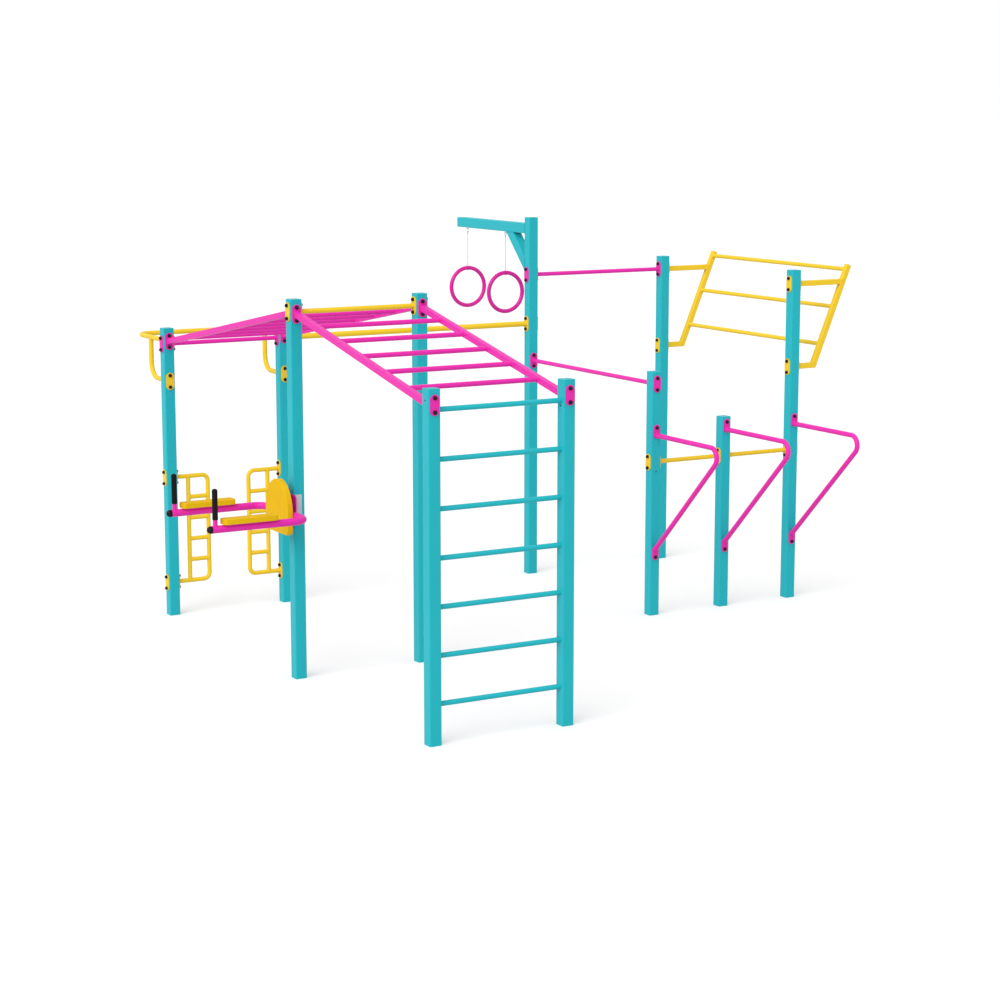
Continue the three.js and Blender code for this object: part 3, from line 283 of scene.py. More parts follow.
def sweep(
    line: Array,
    normal: Vec3,
    section: Array,
    start_cut: Point | None = None,
    end_cut: Point | None = None,
    loop: bool = False,
) -> Shell:
    """A section carried along a line that lies in one plane, mitred at every point of the line.

    A ring is point + u * normal + v * m / (m . side), where side = normal x heading and m is the direction
    halfway between the sides of the two runs that meet there. At a cut end, m lies in the plane of the cut.

    Args:
        line: points of the line.
        normal: unit direction square to the plane of the line.
        section: outline (u, v), the same at each point, or one outline for each point.
        start_cut: direction square to the flat face that the line starts on, if that is slanted.
        end_cut: the same for its end.
        loop: whether the line closes on itself.

    Returns:
        A closed shell.
    """
    flat = np.asarray(normal, float)
    heading = unit(np.roll(line, -1, axis=0) - line)
    if not loop:
        heading[-1] = heading[-2]
    before = np.roll(heading, 1, axis=0)
    if not loop:
        before[0] = heading[0]
    side = np.cross(flat, heading)
    mitre = unit(np.cross(flat, before) + side)
    for place, cut in ((0, start_cut), (-1, end_cut)):
        if cut is not None:
            across = unit(np.cross(flat, np.asarray(cut, float)))
            mitre[place] = across * np.sign(across @ side[place])
    mitre = mitre / np.sum(mitre * side, axis=1, keepdims=True)
    outline = section if section.ndim == 3 else section[None, :, :]
    rings = line[:, None, :] + outline[..., :1] * flat + outline[..., 1:] * mitre[:, None, :]
    return loft(rings, closed=loop)


def slab(
    axes: Axes, size: Vec2, corner: float, low: float, high: float, soft: float = 1.2
) -> Shell:
    """Flat plate with rounded corners and softened edges.

    Ring k is the outline drawn in by soft * (1 - sin t) at a height soft * (1 - cos t) inside the face, for
    t over a quarter turn at each of the two faces.

    Args:
        axes: the plate's place: its outline is drawn in x and y, its thickness along z.
        size: width and height.
        corner: radius of its corners.
        low: where its thickness starts along z.
        high: where it ends.
        soft: radius of the softened edges.

    Returns:
        A closed shell.
    """
    t = quarter_turn(4)
    inset, rise = soft * (1 - np.sin(t)), soft * (1 - np.cos(t))
    insets = np.concatenate([inset, inset[::-1]])
    heights = np.concatenate([low + rise, high - rise[::-1]])
    rings = [
        axes.put(raised(rounded_rectangle(size[0] - 2 * d, size[1] - 2 * d, corner - d), h))
        for d, h in zip(insets, heights)
    ]
    return loft(np.array(rings))


def turned(axes: Axes, profile: Array, sides: int = 24) -> Shell:
    """A profile turned round the local z axis: ring k is (r cos a, r sin a, h) for profile point k = (r, h).

    Args:
        axes: the place of the turned piece.
        profile: points (radius, height) that start and end on the axis.
        sides: points in each ring.

    Returns:
        A closed shell with a pole at each end.
    """
    rings = np.array([axes.put(raised(circle(r, sides), h)) for r, h in profile[1:-1]])
    first, last = (axes.out(float(profile[end][1])).origin for end in (0, -1))
    return loft(rings, first_pole=first, last_pole=last)


def bead(curve: Array, radius: float = 3.0, ripple: float = 5.0) -> Shell:
    """Weld bead along a closed curve.

    Each ring is a circle of radius r * (1 + w cos(2 pi n s)) across the curve, where w is the swell, s runs
    from 0 to 1 round the curve and n is the whole number of ripples nearest to its length over the ripple's.

    Args:
        curve: points of the closed curve.
        radius: half the bead's width.
        ripple: length of one ripple along the weld.

    Returns:
        A closed shell.
    """
    steps = 4
    line = even_loop(curve, max(6, round(loop_length(curve) / ripple)) * steps)
    heading = unit(np.roll(line, -1, axis=0) - np.roll(line, 1, axis=0))
    away = line - line.mean(axis=0)
    away = unit(away - heading * np.sum(away * heading, axis=1, keepdims=True))
    over = np.cross(heading, away)
    swell = radius * (1 + WELD_SWELL * np.cos(2 * math.pi / steps * np.arange(len(line))))
    ring = circle(1.0, 6)
    shape = ring[None, :, :1] * away[:, None, :] + ring[None, :, 1:] * over[:, None, :]
    return loft(line[:, None, :] + swell[:, None, None] * shape, closed=True)


def weld_seam(start: Vec3, end: Vec3, radius: float, ripple: float = 5.0) -> Shell:
    """Straight weld with round ends and a rippled back.

    Its radius is r * sqrt(1 - q^2) over the last r of each end, where q falls from the tip inwards, and
    r * (1 + w cos(2 pi x / ripple)) between them, where w is the swell and x the distance from the start.

    Args:
        start: middle of the weld's first end.
        end: middle of its last end.
        radius: half the weld's width.
        ripple: length of one ripple along the weld.

    Returns:
        A closed shell.
    """
    a, b = np.array(start, float), np.array(end, float)
    length = float(np.linalg.norm(b - a))
    along = (b - a) / length
    upright_limit, first_angle = 0.9, math.radians(15)
    across = unit(np.cross(along, UP if abs(along[2]) < upright_limit else ALONG_X))
    over = np.cross(along, across)
    q = np.cos(np.linspace(first_angle, math.pi / 2, 4))
    inner = np.arange(radius, length - radius, ripple / 2)
    place = np.concatenate([radius * (1 - q), inner, length - radius * (1 - q[::-1])])
    tip, back = np.sqrt(1 - q**2), 1 + WELD_SWELL * np.cos(2 * math.pi * inner / ripple)
    width = radius * np.concatenate([tip, back, tip[::-1]])
    ring = circle(1.0, 8)
    shape = ring[:, :1] * across + ring[:, 1:] * over
    rings = a + place[:, None, None] * along + width[:, None, None] * shape[None, :, :]
    return loft(rings, first_pole=a, last_pole=b)


def cut_curve(axes: Axes, section: Array, plane_point: Point, plane_normal: Point) -> Array:
    """Where a straight tube meets a flat face: each point of its section slides along z to the plane.

    Args:
        axes: the tube's place, with z along it.
        section: its outline in x and y.
        plane_point: any point of the face.
        plane_normal: direction square to the face.

    Returns:
        The points of the closed curve.
    """
    start = axes.put(raised(section))
    along, square = np.array(axes.z), np.array(plane_normal)
    slide = (np.asarray(plane_point, float) - start) @ square / float(along @ square)
    return start + slide[:, None] * along


def saddle_curve(axes: Axes, radius: float, tube_radius: float, count: int = 48) -> Array:
    """Where a round tube along z meets a round tube along x: (r cos a, r sin a, sqrt(R^2 - r^2 sin^2 a)).

    Args:
        axes: origin on the axis of the tube that is met.
        radius: radius r of the tube along z.
        tube_radius: radius R of the tube that it meets.
        count: points on the curve.

    Returns:
        The points of the closed curve.
    """
    flat = circle(radius, count)
    height = np.sqrt(np.maximum(tube_radius**2 - flat[:, 1] ** 2, 0.0))
    return axes.put(np.column_stack([flat, height]))


def moulded_pad(
    axes: Axes, outline: Array, thickness: float, edge: float, crown: float, ripple: float, depth: float
) -> Shell:
    """Solid moulded pad with a rounded front edge, a slight crown and, where asked, fine ribs on its face.

    The side rings are the outline moved in along its own normal by e * (1 - cos t) while the height runs to
    thickness - crown - e * (1 - sin t). A face ring is the last of them shrunk to a share s of itself, at
    thickness - crown * s^4 - depth * fade(s) * (1 - cos(2 pi v / ripple)) / 2, where fade runs from 0 at
    the rim to 1 a little way in.

    Args:
        axes: the pad's place, with z out of its face.
        outline: evenly spaced outline in x and y, anticlockwise.
        thickness: how thick it is at its middle.
        edge: radius e of the front edge.
        crown: how much thinner the rim of the face is.
        ripple: distance from rib to rib along v, or 0 for a plain face.
        depth: how deep the grooves are.

    Returns:
        A closed shell.
    """
    heading = unit(np.roll(outline, -1, axis=0) - np.roll(outline, 1, axis=0))
    inward = np.column_stack([-heading[:, 1], heading[:, 0]])
    t = quarter_turn(7)
    back_edge, smallest_share, fade_share = 2.0, 0.02, 0.08
    heights = np.concatenate([[0.0, back_edge], thickness - crown - edge * (1 - np.sin(t))])
    insets = np.concatenate([[back_edge, 0.0], edge * (1 - np.cos(t))])
    sides = np.array([raised(outline + inward * d, h) for d, h in zip(insets, heights)])
    share = np.linspace(1.0, smallest_share, 64)[1:]
    middle = sides[-1, :, :2].mean(axis=0)
    flat = middle + share[:, None, None] * (sides[-1, None, :, :2] - middle)
    height = thickness - crown * share[:, None] ** 4 * np.ones(len(outline))
    if ripple > 0.0:
        fade = np.clip((1 - share) / fade_share, 0.0, 1.0)[:, None]
        height = height - depth * fade * (1 - np.cos(2 * math.pi * flat[..., 1] / ripple)) / 2
    face = np.concatenate([flat, height[..., None]], axis=-1)
    rings = np.concatenate([sides, face])
    return loft(axes.put(rings), last_pole=axes.put([*middle, height[-1].mean()]))


# Finishes


def linear(colour: str) -> tuple[float, float, float, float]:
    """An sRGB hex colour as linear red, green, blue and alpha.

    Args:
        colour: six hex digits.

    Returns:
        The four numbers a shader socket takes.
    """
    srgb = np.array([int(colour[i : i + 2], 16) for i in (0, 2, 4)]) / 255.0
    flat = np.where(srgb <= 0.04045, srgb / 12.92, ((srgb + 0.055) / 1.055) ** 2.4)
    return (float(flat[0]), float(flat[1]), float(flat[2]), 1.0)


def add_node(tree: Tree, kind: str, inputs: dict | None = None, **settings: object) -> Node:
    """Adds one node with its settings, its values and its links.

    Args:
        tree: the node tree.
        kind: the node's type.
        inputs: for each input socket, a value or the output socket that feeds it.
        settings: the node's own settings.

    Returns:
        The new node.
    """
    node = tree.nodes.new(kind)
    for key, value in settings.items():
        setattr(node, key, value)
    for key, value in (inputs or {}).items():
        if isinstance(value, Socket):
            tree.links.new(value, node.inputs[key])
        else:
            node.inputs[key].default_value = value
    return node


def sized(place: Socket, size_mm: float) -> dict[str, object]:
    """Inputs of a texture that draws a pattern of this size, given in millimetres."""
    return {"Vector": place, "Scale": 1.0 / (size_mm * MM)}


@dataclass(frozen=True)
class Finish(ABC):
    """A finish: its name, the record's slot that it belongs to, and its colour as sRGB hex."""

    name: str
    slot: str
    colour: str

    @abstractmethod
    def surface(self, tree: Tree, place: Socket) -> Node:
        """Builds the shader on Object coordinates and returns its last node."""

    def bumped(self, tree: Tree, height: Socket, depth_mm: float, strength: float) -> Socket:
        """The normal of a surface that a pattern raises by this depth.

        Args:
            tree: the node tree.
            height: the pattern, from 0 to 1.
            depth_mm: height of the pattern in millimetres.
            strength: share of the effect.

        Returns:
            The socket with the bumped normal.
        """
        inputs = {"Height": height, "Distance": depth_mm * MM, "Strength": strength}
        return add_node(tree, "ShaderNodeBump", inputs).outputs["Normal"]

    def toned(self, tree: Tree, factor: Socket, darker: float) -> Socket:
        """The finish's colour, varied towards a slightly darker tone by a pattern.

        Args:
            tree: the node tree.
            factor: the pattern, from 0 to 1.
            darker: share of the light that the darker tone gives back.

        Returns:
            The colour socket.
        """
        *channels, alpha = linear(self.colour)
        ramp = add_node(tree, "ShaderNodeValToRGB", {"Fac": factor})
        for stop, position, share in zip(ramp.color_ramp.elements, (0.3, 0.7), (darker, 1.0)):
            stop.position = position
            stop.color = (*(channel * share for channel in channels), alpha)
        return ramp.outputs["Color"]


@cache
def material_of(finish: Finish) -> bpy.types.Material:
    """The Blender material of a finish, made once.

    Args:
        finish: the finish to build.

    Returns:
        The material, with its surface wired to the output.
    """
    material = bpy.data.materials.new(finish.name)
    material.use_nodes = True
    tree = material.node_tree
    tree.nodes.clear()
    place = add_node(tree, "ShaderNodeTexCoord").outputs["Object"]
    shader = finish.surface(tree, place)
    add_node(tree, "ShaderNodeOutputMaterial", {"Surface": shader.outputs[0]})
    return material


@dataclass(frozen=True)
class PowderCoat(Finish):
    """Polyester powder coat baked on galvanised steel.

    The eye sees an even satin colour with a soft highlight, broken up by a faint orange peel. The peel of a
    real coat is 2 to 3 mm wide; it is drawn at 6 mm, because finer would not show in the render.
    """

    roughness: float = 0.42
    gloss: float = 0.2
    peel_mm: float = 6.0
    patch_mm: float = 420.0

    def surface(self, tree: Tree, place: Socket) -> Node:
        """A dielectric with the peel in its normal and a slow, faint change of tone.

        Args:
            tree: the node tree.
            place: the Object coordinates.

        Returns:
            The shader's node.
        """
        patches = add_node(tree, "ShaderNodeTexNoise", sized(place, self.patch_mm) | {"Detail": 2.0})
        peel = add_node(tree, "ShaderNodeTexNoise", sized(place, self.peel_mm) | {"Detail": 1.0})
        low, high = self.roughness - 0.04, self.roughness + 0.06
        spread = {"Value": peel.outputs["Fac"], "To Min": low, "To Max": high}
        rough = add_node(tree, "ShaderNodeMapRange", spread)
        inputs = {
            "Base Color": self.toned(tree, patches.outputs["Fac"], 0.965),
            "Roughness": rough.outputs["Result"],
            "IOR": 1.5,
            "Specular IOR Level": self.gloss,
            "Normal": self.bumped(tree, peel.outputs["Fac"], 0.25, 0.35),
        }
        return add_node(tree, "ShaderNodeBsdfPrincipled", inputs)


@dataclass(frozen=True)
class Clouded(Finish):
    """A finish whose one cloudy pattern gives both its change of tone and its relief.

    Attributes:
        size_mm: size of the pattern.
        detail: how many finer patterns lie over it.
        darker: share of the light that its darker tone gives back.
        relief: height of the pattern in millimetres, and share of the effect.
        settings: the shader's other sockets, each with its value.
    """

    size_mm: float = 0.0
    detail: float = 2.0
    darker: float = 1.0
    relief: Vec2 = (0.0, 0.0)
    settings: Settings = ()

    def surface(self, tree: Tree, place: Socket) -> Node:
        """A shader with these settings, and with the pattern in its colour and its normal.

        Args:
            tree: the node tree.
            place: the Object coordinates.

        Returns:
            The shader's node.
        """
        cloud = add_node(tree, "ShaderNodeTexNoise", sized(place, self.size_mm) | {"Detail": self.detail})
        inputs = dict(self.settings) | {
            "Base Color": self.toned(tree, cloud.outputs["Fac"], self.darker),
            "Normal": self.bumped(tree, cloud.outputs["Fac"], *self.relief),
        }
        return add_node(tree, "ShaderNodeBsdfPrincipled", inputs)


@dataclass(frozen=True)
class DippedVinyl(Clouded):
    """Steel ring dipped in plastisol vinyl.

    The eye sees a thick, smooth, rather glossy skin with a long highlight, slightly uneven where it ran.
    """

    size_mm: float = 22.0
    darker: float = 0.96
    relief: Vec2 = (0.5, 0.3)
    settings: Settings = (
        ("Roughness", 0.28),
        ("IOR", 1.52),
        ("Specular IOR Level", 0.2),
        ("Coat Weight", 0.1),
        ("Coat Roughness", 0.12),
    )


@dataclass(frozen=True)
class ZincPlatedSteel(Finish):
    """Drawn steel wire and nut, zinc plated.

    The eye sees a bright, slightly blue-grey metal, softened by fine drawing lines and small dull spots.
    """

    roughness: float = 0.3
    spot_mm: float = 4.0

    def surface(self, tree: Tree, place: Socket) -> Node:
        """A metal whose roughness changes from spot to spot.

        Args:
            tree: the node tree.
            place: the Object coordinates.

        Returns:
            The shader's node.
        """
        spots = add_node(tree, "ShaderNodeTexVoronoi", sized(place, self.spot_mm))
        low, high = self.roughness, self.roughness + 0.2
        spread = {"Value": spots.outputs["Distance"], "To Min": low, "To Max": high}
        rough = add_node(tree, "ShaderNodeMapRange", spread)
        inputs = {
            "Base Color": self.toned(tree, spots.outputs["Distance"], 0.9),
            "Metallic": 1.0,
            "Roughness": rough.outputs["Result"],
        }
        return add_node(tree, "ShaderNodeBsdfPrincipled", inputs)


@dataclass(frozen=True)
class LaidRope(Clouded):
    """Three-strand polyester rope.

    The eye sees a soft pale cord with shaded grooves between its strands and a faint fuzz of fibres. The
    strands are in the mesh; the yarns, 0.4 mm in a real rope, are drawn at 1.2 mm so that they show.
    """

    size_mm: float = 1.2
    darker: float = 0.9
    relief: Vec2 = (0.2, 0.5)
    settings: Settings = (("Roughness", 0.75), ("Sheen Weight", 0.3), ("Sheen Roughness", 0.5))


@dataclass(frozen=True)
class MouldedUrethane(Finish):
    """Integral-skin polyurethane, coloured through and moulded in one piece.

    The eye sees a dull rubbery skin with a fine leathery grain and no highlight of its own. The grain of a
    real skin is 1 mm; it is drawn at 3 mm so that it shows.
    """

    grain_mm: float = 3.0
    patch_mm: float = 60.0

    def surface(self, tree: Tree, place: Socket) -> Node:
        """A rough dielectric with cell-like grain in its normal and soft changes of tone.

        Args:
            tree: the node tree.
            place: the Object coordinates.

        Returns:
            The shader's node.
        """
        patches = add_node(tree, "ShaderNodeTexNoise", sized(place, self.patch_mm) | {"Detail": 3.0})
        grain = add_node(tree, "ShaderNodeTexVoronoi", sized(place, self.grain_mm))
        spread = {"Value": grain.outputs["Distance"], "To Min": 0.58, "To Max": 0.72}
        rough = add_node(tree, "ShaderNodeMapRange", spread)
        inputs = {
            "Base Color": self.toned(tree, patches.outputs["Fac"], 0.93),
            "Roughness": rough.outputs["Result"],
            "IOR": 1.49,
            "Specular IOR Level": 0.15,
            "Normal": self.bumped(tree, grain.outputs["Distance"], 0.35, 0.4),
        }
        return add_node(tree, "ShaderNodeBsdfPrincipled", inputs)


@dataclass(frozen=True)
class GripRubber(Clouded):
    """Black vulcanised rubber sleeve.

    The eye sees an almost matt black with a dusty bloom, in clouds of 9 mm, on its ribs.
    """

    size_mm: float = 9.0
    detail: float = 3.0
    darker: float = 0.7
    relief: Vec2 = (0.15, 0.4)
    settings: Settings = (("Roughness", 0.7), ("IOR", 1.5), ("Specular IOR Level", 0.15))


@dataclass(frozen=True)
class AnodisedSheet(Finish):
    """Thin aluminium sheet with a matt anodised skin.

    The eye sees a pale, even grey with a faint straight grain. The grain of a real sheet is 0.2 mm; it is
    drawn at 1 mm across and 40 mm along, because finer would not show.
    """

    grain_mm: float = 1.0
    stretch: float = 0.025

    def surface(self, tree: Tree, place: Socket) -> Node:
        """A matt pale skin with upright grain lines.

        Args:
            tree: the node tree.
            place: the Object coordinates.

        Returns:
            The shader's node.
        """
        upright = add_node(tree, "ShaderNodeMapping", {"Vector": place, "Scale": (1.0, 1.0, self.stretch)})
        lines = sized(upright.outputs["Vector"], self.grain_mm) | {"Detail": 2.0}
        grain = add_node(tree, "ShaderNodeTexNoise", lines)
        inputs = {
            "Base Color": self.toned(tree, grain.outputs["Fac"], 0.94),
            "Roughness": 0.5,
            "Specular IOR Level": 0.3,
            "Normal": self.bumped(tree, grain.outputs["Fac"], 0.05, 0.3),
        }
        return add_node(tree, "ShaderNodeBsdfPrincipled", inputs)


@dataclass(frozen=True)
class MouldedNylon(Clouded):
    """Injection-moulded black polyamide cap.

    The eye sees a dark satin plastic with a small soft highlight and the faint spark texture of its mould,
    1.5 mm from grain to grain.
    """

    size_mm: float = 1.5
    detail: float = 1.0
    darker: float = 0.8
    relief: Vec2 = (0.08, 0.3)
    settings: Settings = (("Roughness", 0.42), ("IOR", 1.53), ("Specular IOR Level", 0.15))


TEAL = PowderCoat("teal powder coat", "teal_paint", "1db1bc")
MAGENTA = PowderCoat("magenta powder coat", "magenta_paint", "e52aa9")
YELLOW = PowderCoat("yellow powder coat", "yellow_paint", "eec728")
RING_SKIN = DippedVinyl("magenta dipped vinyl", "ring_coating", "d61b98")
LINK_STEEL = ZincPlatedSteel("zinc-plated steel", "link_steel", "e8e9ea")
SLING_ROPE = LaidRope("pale polyester rope", "sling_rope", "c9c9cb")
PLATE_GREY = AnodisedSheet("pale anodised sheet", "link_steel", "c3cdd0")
PAD_SKIN = MouldedUrethane("yellow integral-skin polyurethane", "pad_yellow", "e4b606")
GRIP_BLACK = GripRubber("black grip rubber", "grip_rubber", "0e0e0f")
# CAP_BLACK also colours the black buttons in the vent holes, which are painted shade for the dark inside them
CAP_BLACK = MouldedNylon("black nylon", "cap_plastic", "0c0c0d")


# Pieces


@dataclass
class Piece:
    """A surface that is ready for its mesh.

    Attributes:
        name: the piece's name.
        shells: its closed surfaces.
        finish: what it is made of.
        body: the body that it moves with.
        replaces: the nodes that it stands for.
    """

    name: str
    shells: list[Shell]
    finish: Finish
    body: str = "station"
    replaces: tuple[str, ...] = ()


def linked(thing: bpy.types.Object) -> bpy.types.Object:
    """The same object, now in the scene."""
    bpy.context.scene.collection.objects.link(thing)
    return thing


def mesh_object(name: str, shells: list[Shell]) -> bpy.types.Object:
    """One mesh object from closed shells, in metres, smooth except where it turns sharply.

    Args:
        name: the object's name.
        shells: the surfaces that it is made of.

    Returns:
        The object, at the origin and linked to the scene.
    """
    firsts = np.cumsum([0] + [len(shell.points) for shell in shells])
    points = np.concatenate([shell.points for shell in shells]) * MM
    rows = [face + first for shell, first in zip(shells, firsts) for face in shell.faces]
    corners = np.concatenate([row.ravel() for row in rows])
    sizes = np.concatenate([np.full(len(row), row.shape[1]) for row in rows])
    starts = np.concatenate([[0], np.cumsum(sizes)[:-1]])
    mesh = bpy.data.meshes.new(name)
    mesh.vertices.add(len(points))
    mesh.vertices.foreach_set("co", points.ravel().astype(np.float32))
    mesh.loops.add(len(corners))
    mesh.loops.foreach_set("vertex_index", corners.astype(np.int32))
    mesh.polygons.add(len(sizes))
    mesh.polygons.foreach_set("loop_start", starts.astype(np.int32))
    mesh.update(calc_edges=True)
    mesh.validate()
    mesh.shade_smooth()
    mesh.set_sharp_from_angle(angle=math.radians(SHARP_EDGE_DEG))
    made = linked(bpy.data.objects.new(name, mesh))
    even = made.modifiers.new("even_shading", "WEIGHTED_NORMAL")
    even.keep_sharp = True
    return made


class SubAssembly(ABC):
    """What every sub-assembly does: it builds its pieces, then dresses them."""

    @abstractmethod
    def build(self) -> list[Piece]:
        """Works out the surfaces of every piece."""

    def dress(self) -> list[bpy.types.Object]:
        """Makes each piece's mesh, gives it its finish and ties it to its body.

        Returns:
            The finished objects.
        """
        made = []
        for piece in self.build():
            thing = mesh_object(piece.name, piece.shells)
            thing.data.materials.append(material_of(piece.finish))
            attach(thing, piece.body)
            if piece.replaces:
                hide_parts(*piece.replaces)
            faces = len(thing.data.polygons)
            log.info("%s: %d shells, %d faces, %s", piece.name, len(piece.shells), faces, piece.finish.name)
            made.append(thing)
        return made


class Face(Enum):
    """The four faces of a post."""

    LEFT = (-1.0, 0.0, 0.0)
    RIGHT = (1.0, 0.0, 0.0)
    FRONT = (0.0, -1.0, 0.0)
    BACK = (0.0, 1.0, 0.0)

    @property
    def opposite(self) -> "Face":
        """The face on the other side of the post."""
        return Face((-self.value[0], -self.value[1], 0.0))


@dataclass(frozen=True)
class Joint:
    """Sizes that every bolted joint shares; face, seat and plate_top start at the post's centre line."""

    face: float = 40.0
    seat: float = 40.3
    bite: float = 1.0
    plate: Vec2 = (62.0, 124.0)
    plate_top: float = 46.3
    bolt_reach: float = 42.0
    bolt_radius: float = 5.0
    dome_radius: float = 13.0
    dome_height: float = 17.0
    dome_side: float = 0.6
    rim_height: float = 2.4
    rim_edge: float = 0.5
    rim_step: float = 0.9

    @property
    def root(self) -> float:
        """How far out a bar starts, a little way into its plate."""
        return self.seat + self.bite


@dataclass(frozen=True)
class Welds:
    """Half widths of the beads, by what they join."""

    rung: float = 2.6
    side_rung: float = 2.4
    arm: float = 3.5
    stub: float = 2.8
    plate: float = 3.5
    rib: float = 2.5
    staple: float = 1.4
    staple_ripple: float = 4.0


JOINT = Joint()
WELDS = Welds()


@dataclass(frozen=True)
class Post:
    """A post's centre line and height, read from its node."""

    node: str
    x: float
    y: float
    height: float

    def at(self, face: Face, z: float, along: float = 0.0) -> Axes:
        """Axes on a face: x along the face, y up, z out of it, from the post's centre line.

        Args:
            face: which face.
            z: height above the ground.
            along: how far along the face the origin moves.

        Returns:
            The axes.
        """
        out = face.value
        across = (-out[1], out[0], 0.0)
        origin = (self.x + across[0] * along, self.y + across[1] * along, z)
        return Axes(origin, across, UP, out)


def read_posts(side: float = 80.0) -> dict[str, Post]:
    """The eleven posts, from the boxes of their nodes.

    Args:
        side: width of a post; the tower's box also holds its arm, so its centre is measured from one side.

    Returns:
        Each post under its node's name.
    """
    places = ("wall_left", "wall_right", "bridge_left", "bridge_right", "rear_left", "rear_right")
    places += ("incline_rear", "dip_left", "dip_middle", "incline_front")
    posts = {}
    for node in [*(f"post_{place}" for place in places), "ring_gallows"]:
        low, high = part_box(node)
        posts[node] = Post(node, (low.x + high.x) / 2 / MM, low.y / MM + side / 2, high.z / MM)
    return posts


def dome(axes: Axes, height: float) -> Shell:
    """Round bolt cap: a short rim, a fine step, straight sides, and a half-round top (r cos t, s + h sin t).

    Args:
        axes: its place, with z out of its seat.
        height: how far it stands out.

    Returns:
        A closed shell.
    """
    t = quarter_turn(8)
    outer, rim, edge = JOINT.dome_radius, JOINT.rim_height, JOINT.rim_edge
    inner = outer - JOINT.rim_step
    rise = min(inner, height - rim - JOINT.dome_side)
    crown = np.column_stack([inner * np.cos(t), height - rise + rise * np.sin(t)])
    foot = [[0.0, 0.0], [outer, 0.0], [outer, rim - edge], [outer - edge, rim], [inner, rim]]
    return turned(axes, np.vstack([foot, crown[:-1], [[0.0, height]]]), sides=20)


def through_bolts(
    post: Post,
    face: Face,
    places: Sequence[Vec2],
    front: float,
    back: float,
    height: float = JOINT.dome_height,
) -> list[Shell]:
    """Bolts right through a post, with a cap on each end.

    Args:
        post: the post.
        face: the face that their heads are on.
        places: each bolt's height, and how far along the face it is.
        front: distance from the post's centre line to the foot of the front cap.
        back: the same for the cap behind.
        height: height of the caps.

    Returns:
        Two caps and a shank for each bolt.
    """
    outline = circle(JOINT.bolt_radius, sides=10)
    shells = []
    for z, along in places:
        near, far = post.at(face, z, along), post.at(face.opposite, z, -along)
        shank = [near.put(raised(outline, reach)) for reach in (-back - JOINT.bite, front + JOINT.bite)]
        shells += [dome(near.out(front), height), dome(far.out(back), height), loft(np.array(shank))]
    return shells


class Behind(Enum):
    """What a bar's bolts hold on the far side of the post."""

    OWN_PLATE = "a back plate that is part of the bar"
    LOOSE_PLATE = "a back plate that is a piece of its own"
    OTHER_BAR = "the end plate of the bar on the other side"
    NOT_MINE = "nothing: the bolts belong to the bar on the other side"


@dataclass(frozen=True)
class BoltedEnd:
    """A bar's end plate on a post, with its bolts."""

    post: Post
    face: Face
    z: float
    behind: Behind
    back_node: str = ""

    def plate(self, face: Face) -> Shell:
        """A plate with round ends on one face of the post."""
        return slab(self.post.at(face, self.z), JOINT.plate, JOINT.plate[0] / 2, JOINT.seat, JOINT.plate_top)

    def painted(self) -> list[Shell]:
        """The plates that are part of the bar."""
        faces = [self.face, self.face.opposite] if self.behind is Behind.OWN_PLATE else [self.face]
        return [self.plate(face) for face in faces]

    def bolts(self) -> list[Shell]:
        """The two through bolts, unless the other bar brings them.

        Returns:
            The surfaces of the bolts.
        """
        if self.behind is Behind.NOT_MINE:
            return []
        places = [(self.z + JOINT.bolt_reach, 0.0), (self.z - JOINT.bolt_reach, 0.0)]
        return through_bolts(self.post, self.face, places, JOINT.plate_top, JOINT.plate_top)

    def weld(self, outline: Array) -> Shell:
        """The bead round a bar of this outline, square to the plate."""
        axes = self.post.at(self.face, self.z)
        return bead(axes.put(raised(outline, JOINT.plate_top)))

    def point(self, distance: float) -> Array:
        """A point straight out of the joint, at this distance from the post's centre line."""
        return self.post.at(self.face, self.z).out(distance).origin


def bolted(node: str, shells: list[Shell], finish: Finish, ends: Sequence[BoltedEnd]) -> list[Piece]:
    """A welded bar or frame with its loose back plates and its bolts.

    Args:
        node: the node that it stands for.
        shells: its own surfaces.
        finish: its paint.
        ends: its bolted ends.

    Returns:
        The painted piece, a piece for each loose plate, and a black one with its bolts if it brings any.
    """
    plates = [
        Piece(f"{end.back_node}_painted", [end.plate(end.face.opposite)], finish, replaces=(end.back_node,))
        for end in ends
        if end.behind is Behind.LOOSE_PLATE
    ]
    bolts = [shell for end in ends for shell in end.bolts()]
    black = [Piece(f"{node}_bolts", bolts, CAP_BLACK)] if bolts else []
    return [Piece(f"{node}_painted", shells, finish, replaces=(node,)), *plates, *black]


def welded_rung(start: Array, end: Array, radius: float, bite: float = 4.0) -> list[Shell]:
    """A level rung between two rails, with a bead where it meets each of them.

    Args:
        start: middle of its first end, on the face of the rail.
        end: middle of its last end.
        radius: its radius.
        bite: how far it runs on into each rail.

    Returns:
        The rung and its two beads.
    """
    heading = unit(end - start)
    across = np.abs(heading)
    outline = circle(radius)
    rung = sweep(np.array([start - heading * bite, end + heading * bite]), UP, outline)
    ends = [Axes(place, (across[1], across[0], 0.0), UP, across) for place in (start, end)]
    return [rung, *(bead(axes.put(raised(outline)), WELDS.rung) for axes in ends)]


# Sub-assemblies


def square_loft(axes: Axes, side: float, corner: float, places: Sequence[Vec2]) -> Shell:
    """A rounded square carried along z: ring k is the square drawn in by d at height h, for place k = (d, h).

    Args:
        axes: its place, with the square in x and y.
        side: width of the square.
        corner: radius of its corners.
        places: how far each ring is drawn in, and its place along z.

    Returns:
        A closed shell with flat ends.
    """
    rings = []
    for inset, height in places:
        width = side - 2 * inset
        rings.append(axes.put(raised(rounded_rectangle(width, width, corner - inset), height)))
    return loft(np.array(rings))


